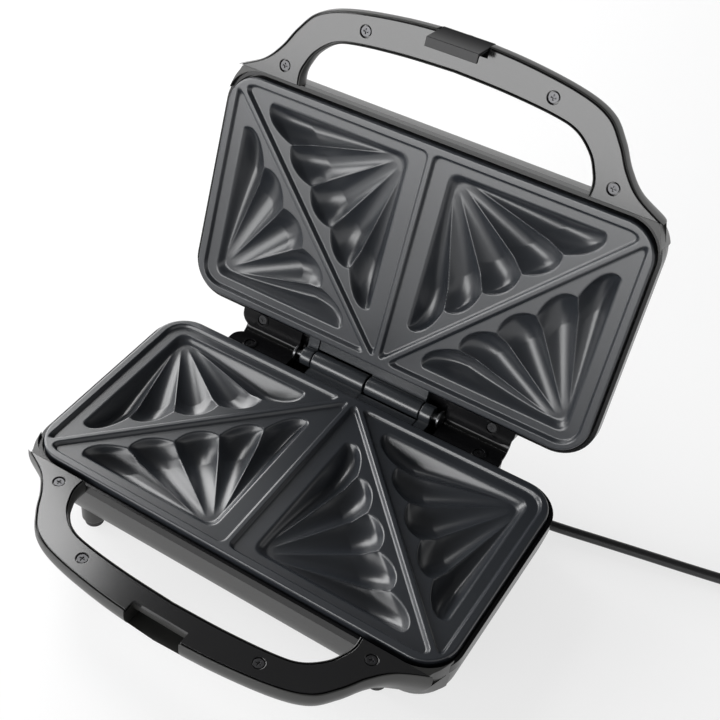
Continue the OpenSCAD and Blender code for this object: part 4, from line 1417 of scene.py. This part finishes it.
FITTINGS = (
    Fittings(GLOSS, 0.6, ("base_frame", "lid_frame")),
    Fittings(
        SCREW, 0.12,
        (
            "base_handle_screws", "lid_handle_screws", "base_hinge_screws", "lid_hinge_screws",
            "base_cover_screws", "lower_plate_screws", "upper_plate_screws", "upper_shield_screws",
        ),
    ),
    Fittings(RUBBER, 0.5, ("front_left_foot", "front_right_foot", "back_left_foot", "back_right_foot")),
    Fittings(STEEL, 0.3, ("hinge_pin_left", "hinge_pin_right", "latch_pin")),
    Fittings(CLIP, 0.35, ("latch_clip",)),
    Fittings(ELEMENT, 0.0, ("lower_heating_element", "upper_heating_element")),
    Fittings(SHEET, 0.0, ("lower_heat_shield", "upper_heat_shield")),
    Fittings(TERMINAL, 0.0, ("terminal_block", "cord_clamp", "lamp_holder")),
    Fittings(CERAMIC, 0.0, ("thermostat",)),
    Fittings(FUSE, 0.0, ("thermal_fuse",)),
    Fittings(FLEX, 0.0, ("inner_lead",)),
    Fittings(RED, 0.0, ("power_lamp_lens",)),
    Fittings(GREEN, 0.0, ("ready_lamp_lens",)),
)


# ---------------------------------------------------------------- camera, light and table


@dataclass
class Studio:
    """The camera of the photograph, a pale table and soft light.

    Attributes:
        azimuth: where the camera stands, in degrees from the front.
        elevation: how high it stands, in degrees.
        roll: its turn about its own axis, in degrees.
        distance: from the target to the camera in millimetres.
        target: the place that it looks at in millimetres.
        focal: the lens in millimetres on a sensor 36 mm wide.
        shift: the lens's shift, because the photograph is a crop.
        table_size: half the table's width in metres.
        pale_share: the share of the table's white that is its own.
        walls_top: where the room's pale walls start to fade, as the sine of the height.
        ceiling_low: where they have faded into the ceiling.
        ceiling: the ceiling's brightness.
    """

    azimuth: float = -32.227
    elevation: float = 43.565
    roll: float = 2.555
    distance: float = 770.2
    target: tuple = (-58.15, 39.21, 50.0)
    focal: float = 64.77
    shift: tuple = (0.1367, 0.0135)
    table_size: float = 6.0
    pale_share: float = 0.72
    walls_top: float = 0.24
    ceiling_low: float = 0.46
    ceiling: float = 0.12

    def camera(self) -> None:
        """Puts the camera at the photograph's place.

        It looks back along the unit vector of its azimuth and elevation, then rolls about that line.
        """
        az, el, roll = (math.radians(a) for a in (self.azimuth, self.elevation, self.roll))
        back = Vector((-math.sin(az) * math.cos(el), -math.cos(az) * math.cos(el), math.sin(el)))
        right = (-back).cross(Vector((0, 0, 1))).normalized()
        up = right.cross(-back)
        tilted_right = right * math.cos(roll) + up * math.sin(roll)
        tilted_up = up * math.cos(roll) - right * math.sin(roll)
        turn = Matrix((tilted_right, tilted_up, back)).transposed()
        data = bpy.data.cameras.new("photograph_camera")
        data.sensor_width = 36.0
        data.lens = self.focal
        data.shift_x, data.shift_y = self.shift
        data.clip_start, data.clip_end = 0.05, 20.0
        made = linked("photograph_camera", data)
        place = (Vector(self.target) + back * self.distance) * MM
        made.matrix_world = Matrix.Translation(place) @ turn.to_4x4()
        bpy.context.scene.camera = made

    def table(self) -> None:
        """A wide pale table top, part of whose white is its own so that it stays pale away from the lamps."""
        size = self.table_size
        mesh = bpy.data.meshes.new("table_top")
        mesh.from_pydata([(-size, -size, 0), (size, -size, 0), (size, size, 0), (-size, size, 0)], [], [(0, 1, 2, 3)])
        made = linked("table_top", mesh)
        white = bpy.data.materials.new("table_white")
        white.use_nodes = True
        tree = white.node_tree
        shader, output = tree.nodes["Principled BSDF"], tree.nodes["Material Output"]
        shader.inputs["Base Color"].default_value = (0.93, 0.93, 0.935, 1)
        shader.inputs["Roughness"].default_value = 0.6
        shader.inputs["Specular IOR Level"].default_value = 0.2
        rays = tree.nodes.new("ShaderNodeLightPath")
        pale = tree.nodes.new("ShaderNodeEmission")
        either, any_of, share = (tree.nodes.new("ShaderNodeMath") for _ in range(3))
        either.operation = any_of.operation = "MAXIMUM"
        share.operation = "MULTIPLY"
        share.inputs[1].default_value = self.pale_share
        mixed = tree.nodes.new("ShaderNodeMixShader")
        tree.links.new(rays.outputs["Is Camera Ray"], either.inputs[0])
        tree.links.new(rays.outputs["Is Glossy Ray"], either.inputs[1])
        tree.links.new(either.outputs["Value"], any_of.inputs[0])
        tree.links.new(rays.outputs["Is Transmission Ray"], any_of.inputs[1])
        tree.links.new(any_of.outputs["Value"], share.inputs[0])
        tree.links.new(share.outputs["Value"], mixed.inputs["Fac"])
        tree.links.new(shader.outputs["BSDF"], mixed.inputs[1])
        tree.links.new(pale.outputs["Emission"], mixed.inputs[2])
        tree.links.new(mixed.outputs["Shader"], output.inputs["Surface"])
        mesh.materials.append(white)

    def light(self, name: str, bearing: float, height: float, away: float, size: tuple, radiance: float) -> None:
        """A soft lamp that faces the toaster.

        Args:
            name: the lamp's name.
            bearing: its direction over the table in degrees from +x.
            height: its elevation in degrees.
            away: its distance in metres.
            size: its width and height in metres.
            radiance: its brightness, where 1 is white.
        """
        data = bpy.data.lights.new(name, "AREA")
        data.shape = "RECTANGLE"
        data.size, data.size_y = size
        data.energy = radiance * math.pi * size[0] * size[1]
        made = linked(name, data)
        flat, up = math.radians(bearing), math.radians(height)
        way = Vector((math.cos(flat) * math.cos(up), math.sin(flat) * math.cos(up), math.sin(up)))
        aim = Vector((0.0, 0.0, 0.08))
        made.matrix_world = Matrix.Translation(aim + way * away) @ way.to_track_quat("Z", "Y").to_matrix().to_4x4()

    def room(self) -> None:
        """A studio with pale walls up to a low height and a dim ceiling, seen alike by all rays."""
        world = bpy.data.worlds.new("studio")
        bpy.context.scene.world = world
        world.use_nodes = True
        tree = world.node_tree
        background = tree.nodes["Background"]
        background.inputs["Color"].default_value = (1, 1, 1, 1)
        place = tree.nodes.new("ShaderNodeTexCoord")
        split = tree.nodes.new("ShaderNodeSeparateXYZ")
        fade = tree.nodes.new("ShaderNodeMapRange")
        fade.interpolation_type = "SMOOTHSTEP"
        fade.inputs["From Min"].default_value = self.walls_top
        fade.inputs["From Max"].default_value = self.ceiling_low
        fade.inputs["To Min"].default_value = 1.0
        fade.inputs["To Max"].default_value = self.ceiling
        tree.links.new(place.outputs["Generated"], split.inputs["Vector"])
        tree.links.new(split.outputs["Z"], fade.inputs["Value"])
        tree.links.new(fade.outputs["Result"], background.inputs["Strength"])

    def build(self) -> None:
        """Sets the camera, the table, the room and the lamps."""
        bpy.context.scene.view_settings.view_transform = "Standard"
        self.camera()
        self.table()
        self.room()
        self.light("left_softbox", bearing=166, height=24, away=1.5, size=(1.9, 0.85), radiance=6.5)
        self.light("high_left_softbox", bearing=157, height=47.5, away=1.5, size=(0.54, 0.37), radiance=9.0)
        self.light("dim_left_softbox", bearing=125, height=45, away=1.5, size=(0.48, 0.26), radiance=0.5)
        self.light("front_softbox", bearing=248, height=13, away=1.6, size=(2.0, 0.6), radiance=5.8)


# ---------------------------------------------------------------- the whole toaster


def main() -> None:
    """Builds the scene, piece by piece."""
    logging.basicConfig(level=logging.INFO, format="%(name)s: %(message)s")
    FRAME.update(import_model())
    layout = Layout()
    layout.fit_to_frame()
    Studio().build()
    Cord(layout).build()
    plate, housing = CookingPlate(layout), Housing(layout)
    for half in Half:
        plate.build(half)
        housing.build_cover(half)
        housing.build_face(half)
        housing.build_shroud(half)
        housing.build_shoulders(half)
        log.info("%s half done", half.value)
    for fittings in FITTINGS:
        fittings.build()
        log.info("%s: %d pieces", fittings.finish.name, len(fittings.nodes))


if __name__ == "__main__":
    main()
